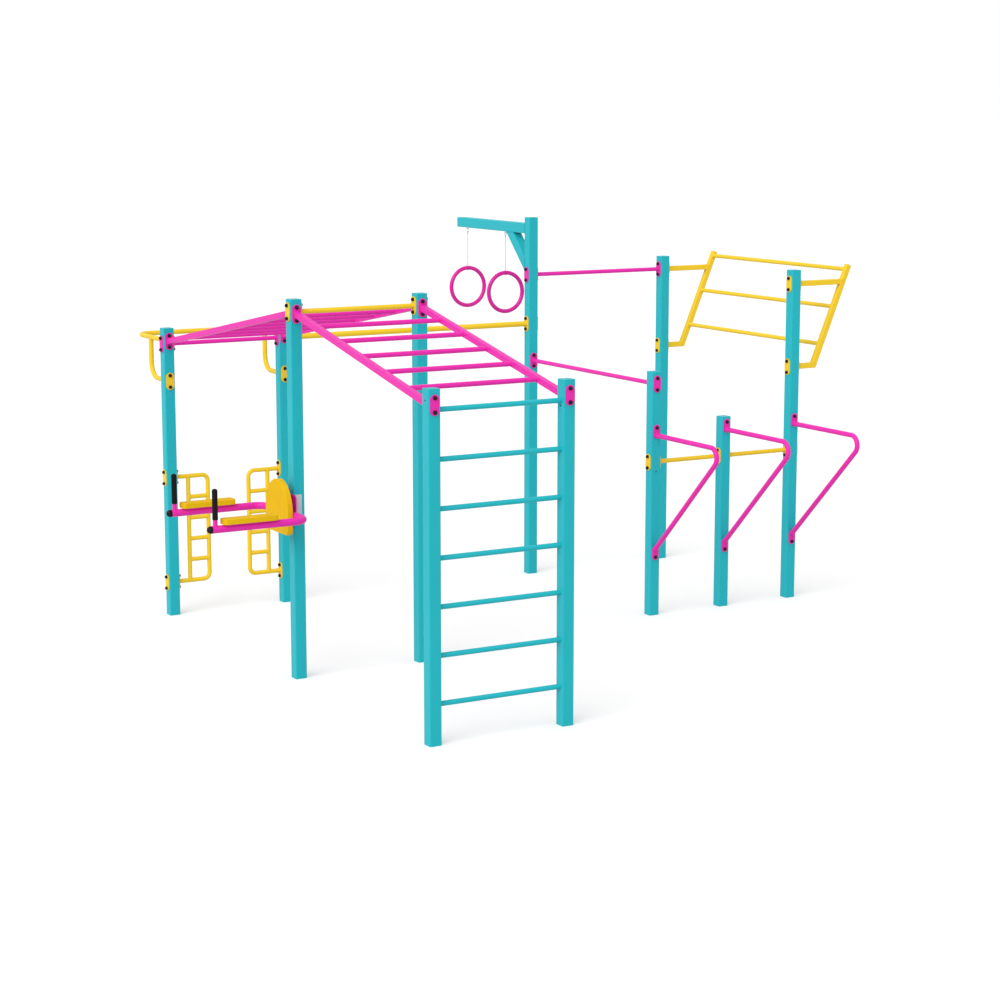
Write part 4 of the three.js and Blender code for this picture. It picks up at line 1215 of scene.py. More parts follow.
@dataclass
class PostShape:
    """A square tube with a welded cap, open at its foot."""

    side: float = 80.0
    corner: float = 8.0
    wall: float = 3.0
    cap: float = 4.0
    edge: float = 1.6
    foot_edge: float = 0.8
    seam: float = 0.5
    seam_edges: tuple[float, float, float] = (-1.2, -0.4, 0.6)

    def shell(self, post: Post) -> Shell:
        """Inner wall, foot and outer wall in one skin.

        The rings run from the ceiling down the inside, round the foot, up the outside over a fine seam under
        the cap, and over the rounded top edge. Each is the square drawn in by its own amount. The seam's
        edges are given from the underside of the cap: where it starts, where it is deepest and where it ends.

        Args:
            post: the post to build.

        Returns:
            A closed shell.
        """
        t = quarter_turn(4)
        top, seat = post.height, post.height - self.cap
        start, deep, end = (seat + rise for rise in self.seam_edges)
        outside = [(self.foot_edge, 0.0), (0.0, self.foot_edge)]
        outside += [(0.0, start), (self.seam, deep), (self.seam, seat), (0.0, end)]
        rim = [(self.edge * (1 - math.cos(a)), top - self.edge * (1 - math.sin(a))) for a in t]
        places = [(self.wall, seat), (self.wall, 0.0)] + outside + rim
        axes = Axes((post.x, post.y, 0.0), ALONG_X, ALONG_Y, UP)
        return square_loft(axes, self.side, self.corner, places)


@dataclass
class PostRow(SubAssembly):
    """The ten plain posts, with a black button in their vent holes as painted shade for the dark inside each
    hole.
    """

    posts: dict[str, Post]
    shape: PostShape = field(default_factory=PostShape)
    # sizes of the black buttons in the vent holes: painted shade that stands for the dark inside each hole
    shade_button_radius: float = 5.0
    shade_button_height: float = 2.2
    shade_button_lip: float = 1.2
    shade_button_stem: float = 4.0
    vent_drops: dict[str, tuple[Face, float]] = field(
        default_factory=lambda: {
            "post_wall_left": (Face.LEFT, 69.0),
            "post_wall_right": (Face.LEFT, 157.0),
            "post_dip_left": (Face.FRONT, 731.0),
        }
    )

    def shade_button(self, post: Post, face: Face, drop: float) -> Shell:
        """A black button of painted hole shade: a stem in the hole, an upright rim, a crown over a shoulder.

        Args:
            post: the post whose vent hole it sits in.
            face: the face that it is in.
            drop: how far below the post's top it sits.

        Returns:
            A closed shell.
        """
        r, h, stem = self.shade_button_radius, self.shade_button_height, self.shade_button_radius - self.shade_button_lip
        rim_share, shoulder_share = 0.4, 0.8
        foot = [(0.0, -self.shade_button_stem), (stem, -self.shade_button_stem), (stem, 0.0), (r, 0.0)]
        crown = [(r, h * rim_share), (r * shoulder_share, h * shoulder_share), (0.0, h)]
        seat = post.at(face, post.height - drop).out(self.shape.side / 2)
        return turned(seat, np.array(foot + crown), sides=16)

    def build(self) -> list[Piece]:
        """One piece for each post, and one for the black buttons of painted hole shade.

        Returns:
            The pieces.
        """
        pieces = [
            Piece(f"{node}_painted", [self.shape.shell(post)], TEAL, replaces=(node,))
            for node, post in self.posts.items()
            if node != "ring_gallows"
        ]
        shade_buttons = [self.shade_button(self.posts[node], face, drop) for node, (face, drop) in self.vent_drops.items()]
        # painted shade: these black buttons stand for the dark inside the vent holes
        return [*pieces, Piece("vent_hole_shade_buttons", shade_buttons, CAP_BLACK)]


@dataclass
class BlankPlate(SubAssembly):
    """A thin, plain, pale plate stuck on one face of a post."""

    post: Post
    face: Face = Face.FRONT
    size: Vec2 = (46.0, 150.0)
    corner: float = 6.0
    thickness: float = 1.0
    edge: float = 0.3
    z: float = 1153.0
    along: float = -5.0

    def build(self) -> list[Piece]:
        """The plate alone.

        Returns:
            The piece, in a list.
        """
        axes = self.post.at(self.face, self.z, self.along).out(JOINT.face)
        sheet = slab(axes, self.size, self.corner, 0.0, self.thickness, self.edge)
        return [Piece("blank_plate", [sheet], PLATE_GREY)]


@dataclass
class WallLadder(SubAssembly):
    """Seven rungs plugged into the two front posts and welded round."""

    left: Post
    right: Post
    rungs: int = 7
    first_z: float = 244.0
    top_margin: float = 126.0
    radius: float = 16.0
    socket: float = 20.0

    def build(self) -> list[Piece]:
        """A piece for each rung: the tube and the bead at each of its ends.

        Returns:
            The pieces, from the lowest rung up.
        """
        heights = np.linspace(self.first_z, self.left.height - self.top_margin, self.rungs)
        outline = circle(self.radius)
        pieces = []
        for number, z in enumerate(heights, start=1):
            ends = [self.left.at(Face.RIGHT, z), self.right.at(Face.LEFT, z)]
            line = np.array([end.out(JOINT.face - self.socket).origin for end in ends])
            beads = [bead(end.put(raised(outline, JOINT.face)), WELDS.rung) for end in ends]
            node, shells = f"wall_rung_{number}", [sweep(line, UP, outline), *beads]
            pieces.append(Piece(f"{node}_painted", shells, TEAL, replaces=(node,)))
        return pieces


@dataclass
class StraightBar(SubAssembly):
    """A round bar between two posts, with a bolted plate on each end."""

    node: str
    start: BoltedEnd
    end: BoltedEnd
    radius: float
    finish: Finish

    def build(self) -> list[Piece]:
        """The bar, its loose back plates and its bolts.

        Returns:
            The pieces.
        """
        ends = (self.start, self.end)
        outline = circle(self.radius, sides=28)
        shells = [sweep(np.array([end.point(JOINT.root) for end in ends]), UP, outline)]
        for end in ends:
            shells += [*end.painted(), end.weld(outline)]
        return bolted(self.node, shells, self.finish, ends)


@dataclass
class OverheadLadder(SubAssembly):
    """Two sloping square rails with round rungs welded between them."""

    node: str
    high: Sequence[BoltedEnd]
    low: Sequence[BoltedEnd]
    rail: float = 40.0
    rail_corner: float = 4.0
    rung_radius: float = 16.0
    rung_pitch: float = 306.0

    def rung_line(self) -> tuple[Array, Array]:
        """Where the rungs cross: fractions from the high end to the low end, and the run's vector.

        The rungs stand a pitch apart, evenly about the middle of the run between the posts.

        Returns:
            The fractions along a rail, and the rail's vector.
        """
        start, end = self.high[0].point(JOINT.seat), self.low[0].point(JOINT.seat)
        clear = float(abs(end[1] - start[1]))
        count = math.floor(clear / self.rung_pitch)
        middle = (np.arange(count) - (count - 1) / 2) * self.rung_pitch
        return 0.5 + middle / clear, end - start

    def build(self) -> list[Piece]:
        """The welded ladder, its loose back plates and its bolts.

        Returns:
            The pieces.
        """
        section = rounded_rectangle(self.rail, self.rail, self.rail_corner, steps=4)
        shells = []
        for high, low in zip(self.high, self.low):
            start, end = high.point(JOINT.root), low.point(JOINT.root)
            shells.append(sweep(np.array([start, end]), ALONG_X, section, ALONG_Y, ALONG_Y))
            heading = unit(end - start)
            axes = Axes(start, ALONG_X, np.cross(heading, ALONG_X), heading)
            for joint in (high, low):
                shells += joint.painted()
                shells.append(bead(cut_curve(axes, section, joint.point(JOINT.plate_top), ALONG_Y)))
        shares, run = self.rung_line()
        left, right = (end.point(JOINT.seat) for end in self.high)
        inward = np.array([self.rail / 2, 0.0, 0.0])
        for share in shares:
            shells += welded_rung(left + run * share + inward, right + run * share - inward, self.rung_radius)
        return bolted(self.node, shells, MAGENTA, (*self.high, *self.low))


@dataclass
class OffsetBar(SubAssembly):
    """A U of tube behind the rear posts, held from below by two bent braces."""

    node: str
    upper: Sequence[BoltedEnd]
    lower: Sequence[BoltedEnd]
    reach: float = 585.0
    brace_y: float = 313.0
    bend: float = 110.0
    radius: float = 18.0

    def build(self) -> list[Piece]:
        """The welded bar, its loose back plates and its bolts.

        Returns:
            The pieces.
        """
        outline = circle(self.radius, sides=28)
        left, right = (end.point(JOINT.root) for end in self.upper)
        far = self.upper[0].post.y + self.reach
        corners = [left, (left[0], far, left[2]), (right[0], far, right[2]), right]
        shells = [sweep(bent_line(corners, self.bend), UP, outline)]
        for upper, lower in zip(self.upper, self.lower):
            x, y = upper.post.x, upper.post.y + self.brace_y
            line = bent_line([(x, y, upper.z), (x, y, lower.z), lower.point(JOINT.root)], self.bend)
            shells.append(sweep(line, ALONG_X, outline))
            hang = Axes((x, y, upper.z), ALONG_Y, ALONG_X, DOWN)
            shells.append(bead(saddle_curve(hang, self.radius, self.radius)))
            for end in (upper, lower):
                shells += [*end.painted(), end.weld(outline)]
        return bolted(self.node, shells, YELLOW, (*self.upper, *self.lower))


@dataclass
class SideLadder(SubAssembly):
    """A bent frame with a second upright and four short rungs, bolted to the side of a rear post."""

    node: str
    post: Post
    face: Face
    low_z: float = 243.0
    pitch: float = 155.8
    rungs: int = 4
    out: float = 252.0
    inner: float = 98.0
    bend: float = 45.0
    radius: float = 16.0

    def build(self) -> list[Piece]:
        """The welded frame and its bolts.

        Returns:
            The pieces.
        """
        top_z = self.low_z + self.pitch * (self.rungs + 1)
        ends = [BoltedEnd(self.post, self.face, z, Behind.OWN_PLATE) for z in (self.low_z, top_z)]
        toward = np.array(self.face.value)
        centre = np.array([self.post.x, self.post.y, 0.0])
        outline = circle(self.radius)

        def at(distance: float, z: float) -> Array:
            """A point this far from the post's centre line at this height."""
            return centre + toward * distance + np.array([0.0, 0.0, z])

        far, near = JOINT.face + self.out, JOINT.face + self.inner
        outer = [(JOINT.root, top_z), (far, top_z), (far, self.low_z), (JOINT.root, self.low_z)]
        shells = [sweep(bent_line([at(*corner) for corner in outer], self.bend), ALONG_Y, outline)]
        shells.append(sweep(np.array([at(near, self.low_z), at(near, top_z)]), ALONG_Y, outline))
        for z, heading in ((self.low_z, UP), (top_z, DOWN)):
            axes = Axes(at(near, z), ALONG_X, ALONG_Y, heading)
            shells.append(bead(saddle_curve(axes, self.radius, self.radius), WELDS.side_rung))
        for number in range(1, self.rungs + 1):
            z = self.low_z + number * self.pitch
            shells.append(sweep(np.array([at(near, z), at(far, z)]), ALONG_Y, outline))
            for distance, sign in ((near, 1.0), (far, -1.0)):
                axes = Axes(at(distance, z), UP, ALONG_Y, toward * sign)
                shells.append(bead(saddle_curve(axes, self.radius, self.radius), WELDS.side_rung))
        for end in ends:
            shells += [*end.painted(), end.weld(outline)]
        return bolted(self.node, shells, YELLOW, ends)


@dataclass
class RingGallows(SubAssembly):
    """The tallest post with a square arm, a 45 degree brace, and a bent staple over each ring."""

    post: Post
    shape: PostShape = field(default_factory=PostShape)
    arm_side: float = 79.0
    arm_reach: float = 1131.0
    arm_drop: float = 48.0
    arm_edge: float = 1.6
    arm_seam: float = 0.5
    arm_seam_edges: tuple[float, float, float] = (5.0, 4.2, 3.4)
    end_to_ring: float = 108.0
    inner_ring_share: float = 0.356
    brace_to_ring: float = 69.0
    brace_bite: float = 1.5
    staple_wire: float = 6.0
    staple_width: float = 26.0
    staple_height: float = 20.0
    staple_bend: float = 5.0

    @property
    def underside(self) -> float:
        """Height of the underside of the arm."""
        return self.post.height - self.arm_drop - self.arm_side

    @property
    def ring_places(self) -> dict[str, float]:
        """How far out each ring hangs."""
        return {"outer": self.arm_reach - self.end_to_ring, "inner": self.arm_reach * self.inner_ring_share}

    def arm(self) -> Shell:
        """The arm, from the post to its capped end, whose edge is rounded as the posts' tops are.

        The fine seam of the cap starts, is deepest and ends at its own distances from the arm's end.

        Returns:
            A closed shell.
        """
        t = quarter_turn(4)
        middle, edge, end = self.underside + self.arm_side / 2, self.arm_edge, self.arm_reach
        start, deep, back = (end - distance for distance in self.arm_seam_edges)
        places = [(0.0, JOINT.face - JOINT.bite), (0.0, start), (self.arm_seam, deep), (0.0, back)]
        places += [(edge * (1 - math.cos(a)), end - edge * (1 - math.sin(a))) for a in t]
        axes = Axes((self.post.x, self.post.y, middle), ALONG_X, DOWN, ALONG_Y)
        return square_loft(axes, self.arm_side, self.shape.corner, places)

    def brace(self) -> list[Shell]:
        """The 45 degree brace, cut flat against the post and the arm, and its two welds.

        Returns:
            The brace and its beads.
        """
        rise = self.ring_places["inner"] - JOINT.face - self.brace_to_ring
        half = self.arm_side / math.sqrt(2.0)
        foot_z = self.underside - rise + half
        start = np.array([self.post.x, self.post.y + JOINT.face, foot_z])
        length = self.underside - foot_z
        end = start + np.array([0.0, length, length])
        section = rounded_rectangle(self.arm_side, self.arm_side, self.shape.corner, steps=4)
        heading = unit(end - start)
        axes = Axes(start, ALONG_X, np.cross(heading, ALONG_X), heading)
        bite = heading * self.brace_bite
        return [
            sweep(np.array([start - bite, end + bite]), ALONG_X, section, ALONG_Y, UP),
            bead(cut_curve(axes, section, start, ALONG_Y), WELDS.arm),
            bead(cut_curve(axes, section, end, UP), WELDS.arm),
        ]

    def staple(self, reach: float) -> list[Shell]:
        """A U of round wire under the arm, with a weld round each leg.

        Args:
            reach: how far out along the arm it is.

        Returns:
            The wire and its two beads.
        """
        middle = self.staple_width / 2 - self.staple_wire / 2
        low = self.underside - self.staple_height + self.staple_wire / 2
        x, y, top = self.post.x, self.post.y + reach, self.underside + JOINT.bite
        corners = [(x, y - middle, top), (x, y - middle, low), (x, y + middle, low), (x, y + middle, top)]
        outline = circle(self.staple_wire / 2, sides=14)
        shells = [sweep(bent_line(corners, self.staple_bend, step_deg=15.0), ALONG_X, outline)]
        for sign in (-1.0, 1.0):
            axes = Axes((x, y + sign * middle, self.underside), ALONG_X, ALONG_Y, UP)
            shells.append(bead(axes.put(raised(outline)), WELDS.staple, WELDS.staple_ripple))
        return shells

    def build(self) -> list[Piece]:
        """The welded tower, and the two bare staples.

        Returns:
            The two pieces.
        """
        section = rounded_rectangle(self.arm_side, self.arm_side, self.shape.corner, steps=4)
        middle = self.underside + self.arm_side / 2
        joint = Axes((self.post.x, self.post.y + JOINT.face, middle), ALONG_X, UP, ALONG_Y)
        shells = [self.shape.shell(self.post), self.arm(), *self.brace()]
        shells.append(bead(joint.put(raised(section)), WELDS.arm))
        staples = [shell for reach in self.ring_places.values() for shell in self.staple(reach)]
        return [
            Piece("ring_gallows_painted", shells, TEAL, replaces=("ring_gallows",)),
            Piece("ring_staples", staples, LINK_STEEL),
        ]


@dataclass
class RingHanger(SubAssembly):
    """A screw link on the staple, a rope sling through the link, and a ring in the sling."""

    side: str
    gallows: RingGallows
    link_wire: float = 5.0
    link_inside: Vec2 = (14.0, 22.0)
    link_corner: float = 4.0
    link_top: float = 3.754
    link_drop: float = 20.746
    link_nut: float = 3.7
    link_nut_half: float = 5.0
    link_nut_bevel: float = 0.8
    rope: float = 4.2
    strand_lay: float = 16.0
    strand_share: float = 0.86
    ring_drop: float = 331.5
    ring_radius: float = 154.0
    ring_tube: float = 16.5
    clear: float = 0.5
    step: float = 2.2
    neck: float = 2.3
    neck_run: Vec2 = (24.0, 38.0)
    binding_half: float = 5.0
    binding_inset: float = 6.0
    binding_skin: float = 0.5
    binding_edges: tuple[Vec2, ...] = ((0.0, 1.2), (0.4, 0.4), (1.4, 0.0))
    binding_corner_clear: float = 0.1
    sleeve_rise: float = 17.0
    sleeve_skin: float = 0.08

    @property
    def bar(self) -> Array:
        """Middle of the staple's bar that the link hangs on.

        Returns:
            The point.
        """
        gallows = self.gallows
        z = gallows.underside - gallows.staple_height + gallows.staple_wire / 2
        return np.array([gallows.post.x, gallows.post.y + gallows.ring_places[self.side], z])

    @property
    def ring_top(self) -> float:
        """Height of the top of the ring's centre line."""
        return self.gallows.underside - self.ring_drop

    def link(self) -> list[Shell]:
        """The wire loop, and the six-sided nut that closes it on one leg.

        Returns:
            The wire and the nut.
        """
        wide = (self.link_inside[0] + self.link_wire) / 2
        tall = (self.link_inside[1] + self.link_wire) / 2
        middle = self.bar + np.array([0.0, 0.0, self.link_top - self.link_inside[1] / 2])
        signs = ((1, 1), (-1, 1), (-1, -1), (1, -1))
        corners = [middle + np.array([u * wide, 0.0, v * tall]) for u, v in signs]
        line = bent_line(corners, self.link_corner + self.link_wire / 2, loop=True, step_deg=11.0)
        wire = sweep(line, ALONG_Y, circle(self.link_wire / 2, sides=14), loop=True)
        leg = Axes(middle + np.array([wide, 0.0, 0.0]), ALONG_X, ALONG_Y, UP)
        r, half, bevel = self.link_nut, self.link_nut_half, self.link_nut_bevel
        profile = [(r - bevel, -half), (r, bevel - half), (r, half - bevel), (r - bevel, half)]
        nut = np.array([leg.put(raised(circle(radius, sides=6), h)) for radius, h in profile])
        return [wire, loft(nut)]

    def belt(self) -> Array:
        """The rope's closed line: half circles round the link and the ring, and two strands between them.

        The strands run side by side in a neck. Below the link and above the ring each is n + (r - n) p from
        the middle, with p = 1 - t^2 (3 - 2 t), where n is its place in the neck, r the radius of the half
        circle, and t runs from 0 at the half circle to 1 at the neck. The line starts at the link, so that
        the points beside the ring follow each other in it.

        Returns:
            Its points, evenly spaced.
        """
        top = self.link_wire / 2 + self.clear + self.rope / 2
        bottom = self.ring_tube + self.clear + self.rope / 2
        distance = self.bar[2] - self.link_drop - self.ring_top
        t = np.linspace(0.0, 1.0, 24)
        parting = 1 - t * t * (3 - 2 * t)
        upper = np.column_stack([self.neck + (top - self.neck) * parting, -self.neck_run[0] * t])
        lower = np.column_stack([self.neck + (bottom - self.neck) * parting, self.neck_run[1] * t - distance])
        a, b = np.linspace(0.0, math.pi, 24), np.linspace(math.pi, 2 * math.pi, 36)
        over = top * np.column_stack([np.cos(a), np.sin(a)])
        under = bottom * np.column_stack([np.cos(b), np.sin(b)]) - np.array([0.0, distance])
        other = np.array([-1.0, 1.0])
        outline = np.vstack([over, upper[1:] * other, lower[:0:-1] * other, under, lower[1:], upper[:0:-1]])
        place = self.bar - np.array([0.0, 0.0, self.link_drop])
        belt = np.column_stack([np.zeros(len(outline)), outline]) + place
        return even_loop(belt, round(loop_length(belt) / self.step))

    def seizings(self) -> list[Shell]:
        """A tight binding round both strands at each end of the neck.

        Its section is a slot with round ends. Each of its edges gives how much narrower a ring is there, and
        how far that ring is from the binding's end.

        Returns:
            The upper and the lower binding.
        """
        deep = self.rope + self.binding_skin
        wide = deep + 2 * self.neck
        edges = [(inset, self.binding_half - gap) for inset, gap in self.binding_edges]
        places = [(inset, -h) for inset, h in reversed(edges)] + edges
        upper = self.bar[2] - self.link_drop - self.neck_run[0] - self.binding_inset
        lower = self.ring_top + self.neck_run[1] + self.binding_inset
        shells = []
        for z in (upper, lower):
            axes = Axes((self.bar[0], self.bar[1], z), ALONG_X, ALONG_Y, UP)
            rings = []
            for inset, h in places:
                corner = (deep - inset) / 2 - self.binding_corner_clear
                rings.append(axes.put(raised(rounded_rectangle(deep - inset, wide - inset, corner), h)))
            shells.append(loft(np.array(rings)))
        return shells

    def sling(self) -> list[Shell]:
        """The rope round the link and the ring, with three twisted strands, and its bindings.

        Its section has radius r * (c + (1 - c) |cos(3 (a - 2 pi n s) / 2)|), where c is the share of the
        grooves, n the number of turns and s runs from 0 to 1 round the rope, so that three bulges climb it.

        Returns:
            The rope and its bindings.
        """
        line = self.belt()
        turns = round(len(line) * self.step / self.strand_lay)
        s = np.arange(len(line)) / len(line)
        angle = np.linspace(0.0, 2 * math.pi, 18, endpoint=False)
        bulge = np.abs(np.cos(1.5 * (angle[None, :] - 2 * math.pi * s[:, None] * turns)))
        radius = self.rope / 2 * (self.strand_share + (1 - self.strand_share) * bulge)
        section = radius[..., None] * circle(1.0, sides=18)[None, :, :]
        return [sweep(line, ALONG_X, section, loop=True), *self.seizings()]

    def sleeve(self) -> list[Shell]:
        """A thin vinyl sleeve on the rope, where it bears on the ring.

        Returns:
            The sleeve.
        """
        line = self.belt()
        covered = line[line[:, 2] < self.ring_top + self.sleeve_rise]
        return [sweep(covered, ALONG_X, circle(self.rope / 2 + self.sleeve_skin, sides=18))]

    def ring(self) -> list[Shell]:
        """The ring: a circle carried round a circle in the plane across the arm.

        Returns:
            The ring.
        """
        middle = (self.bar[0], self.bar[1], self.ring_top - self.ring_radius)
        line = Axes(middle, ALONG_X, UP, ALONG_Y).put(raised(circle(self.ring_radius, sides=96)))
        return [sweep(line, ALONG_Y, circle(self.ring_tube), loop=True)]

    def build(self) -> list[Piece]:
        """The link, the sling with its sleeve, and the ring, each on its own body.

        Returns:
            The pieces.
        """
        made = [Piece(f"ring_sleeve_{self.side}", self.sleeve(), RING_SKIN, f"{self.side}_sling")]
        for kind, shells, finish in (
            ("link", self.link(), LINK_STEEL),
            ("sling", self.sling(), SLING_ROPE),
            ("ring", self.ring(), RING_SKIN),
        ):
            node = f"ring_{self.side}" if kind == "ring" else f"ring_{kind}_{self.side}"
            made.append(Piece(f"{node}_finished", shells, finish, f"{self.side}_{kind}", (node,)))
        return made


@dataclass
class InclinedLadder(SubAssembly):
    """Two rails that leave the posts level, turn up at a mitred elbow, and carry three rungs."""

    node: str
    tops: Sequence[BoltedEnd]
    feet: Sequence[BoltedEnd]
    rail: float = 40.0
    rail_corner: float = 4.0
    elbow: float = 194.0
    tilt_deg: float = 22.7
    rail_length: float = 806.0
    end_cap: float = 3.0
    end_overlap: float = 1.5
    level_bite: float = 4.0
    rungs: int = 3
    rung_pitch: float = 300.0
    top_margin: float = 36.0
    rung_radius: float = 16.0

    def build(self) -> list[Piece]:
        """The welded ladder, its loose back plates and its bolts.

        Returns:
            The pieces.
        """
        tilt = math.radians(self.tilt_deg)
        along = np.array([math.sin(tilt), 0.0, math.cos(tilt)])
        square = np.cross(along, ALONG_Y)
        section = rounded_rectangle(self.rail, self.rail, self.rail_corner, steps=4)
        shells = []
        for top, foot in zip(self.tops, self.feet):
            elbow = foot.point(self.elbow)
            end = elbow + along * (self.rail_length - self.end_overlap)
            shells.append(sweep(np.array([foot.point(JOINT.root), elbow, end]), ALONG_Y, section))
            tip = Axes(elbow + along * self.rail_length, ALONG_Y, square, along)
            shells.append(slab(tip, (self.rail, self.rail), self.rail_corner, -self.end_cap, 0.0))
            meet = top.point(self.elbow) + np.array([(top.z - foot.z) * math.tan(tilt), 0.0, 0.0])
            face = meet - np.array([self.rail / 2 / math.cos(tilt), 0.0, 0.0])
            level = np.array([top.point(JOINT.root), face + np.array([self.level_bite, 0.0, 0.0])])
            shells.append(sweep(level, ALONG_Y, section, None, square))
            shells.append(bead(cut_curve(Axes(level[0], ALONG_Y, UP, ALONG_X), section, face, square)))
            for joint in (top, foot):
                shells += [*joint.painted(), joint.weld(section)]
        first, last = (foot.point(self.elbow) for foot in self.feet)
        inward = unit(last - first) * self.rail / 2
        for number in range(self.rungs):
            shift = along * (self.rail_length - self.top_margin - number * self.rung_pitch)
            shells += welded_rung(first + shift + inward, last + shift - inward, self.rung_radius)
        return bolted(self.node, shells, YELLOW, (*self.tops, *self.feet))


@dataclass
class DipBar(SubAssembly):
    """One tube, level at the top and turned back to its post on a diagonal, with two bolted plates."""

    node: str
    post: Post
    top_z: float = 1337.0
    foot_z: float = 494.0
    slope_deg: float = 44.36
    bend: float = 70.0
    radius: float = 18.0
    plate: Vec2 = (55.0, 102.0)
    bolt_to_tube: float = 57.0

    def build(self) -> list[Piece]:
        """The welded bar and its bolts.

        Returns:
            The two pieces.
        """
        outline = circle(self.radius, sides=28)
        reach = JOINT.seat + (self.top_z - self.foot_z) / math.tan(math.radians(self.slope_deg))
        x, y = self.post.x, self.post.y
        start, foot = (x, y - JOINT.root, self.top_z), (x, y - JOINT.root, self.foot_z - JOINT.bite)
        line = bent_line([start, (x, y - reach, self.top_z), foot], self.bend)
        shells = [sweep(line, ALONG_X, outline, ALONG_Y, ALONG_Y)]
        for middle in (self.top_z + self.bolt_to_tube / 2, self.foot_z - self.bolt_to_tube / 2):
            axes = self.post.at(Face.FRONT, middle)
            shells.append(slab(axes, self.plate, self.plate[0] / 2, JOINT.seat, JOINT.plate_top))
        plate_top = np.array([x, y - JOINT.plate_top, self.top_z])
        level = Axes(start, ALONG_X, UP, ALONG_Y)
        heading = unit(line[-1] - line[-2])
        slope = Axes(foot, ALONG_X, np.cross(heading, ALONG_X), heading)
        shells += [bead(cut_curve(axes, outline, plate_top, ALONG_Y)) for axes in (level, slope)]
        places = [(self.top_z + self.bolt_to_tube, 0.0), (self.foot_z - self.bolt_to_tube, 0.0)]
        bolts = through_bolts(self.post, Face.FRONT, places, JOINT.plate_top, JOINT.seat)
        return [
            Piece(f"{self.node}_painted", shells, MAGENTA, replaces=(self.node,)),
            Piece(f"{self.node}_bolts", bolts, CAP_BLACK),
        ]


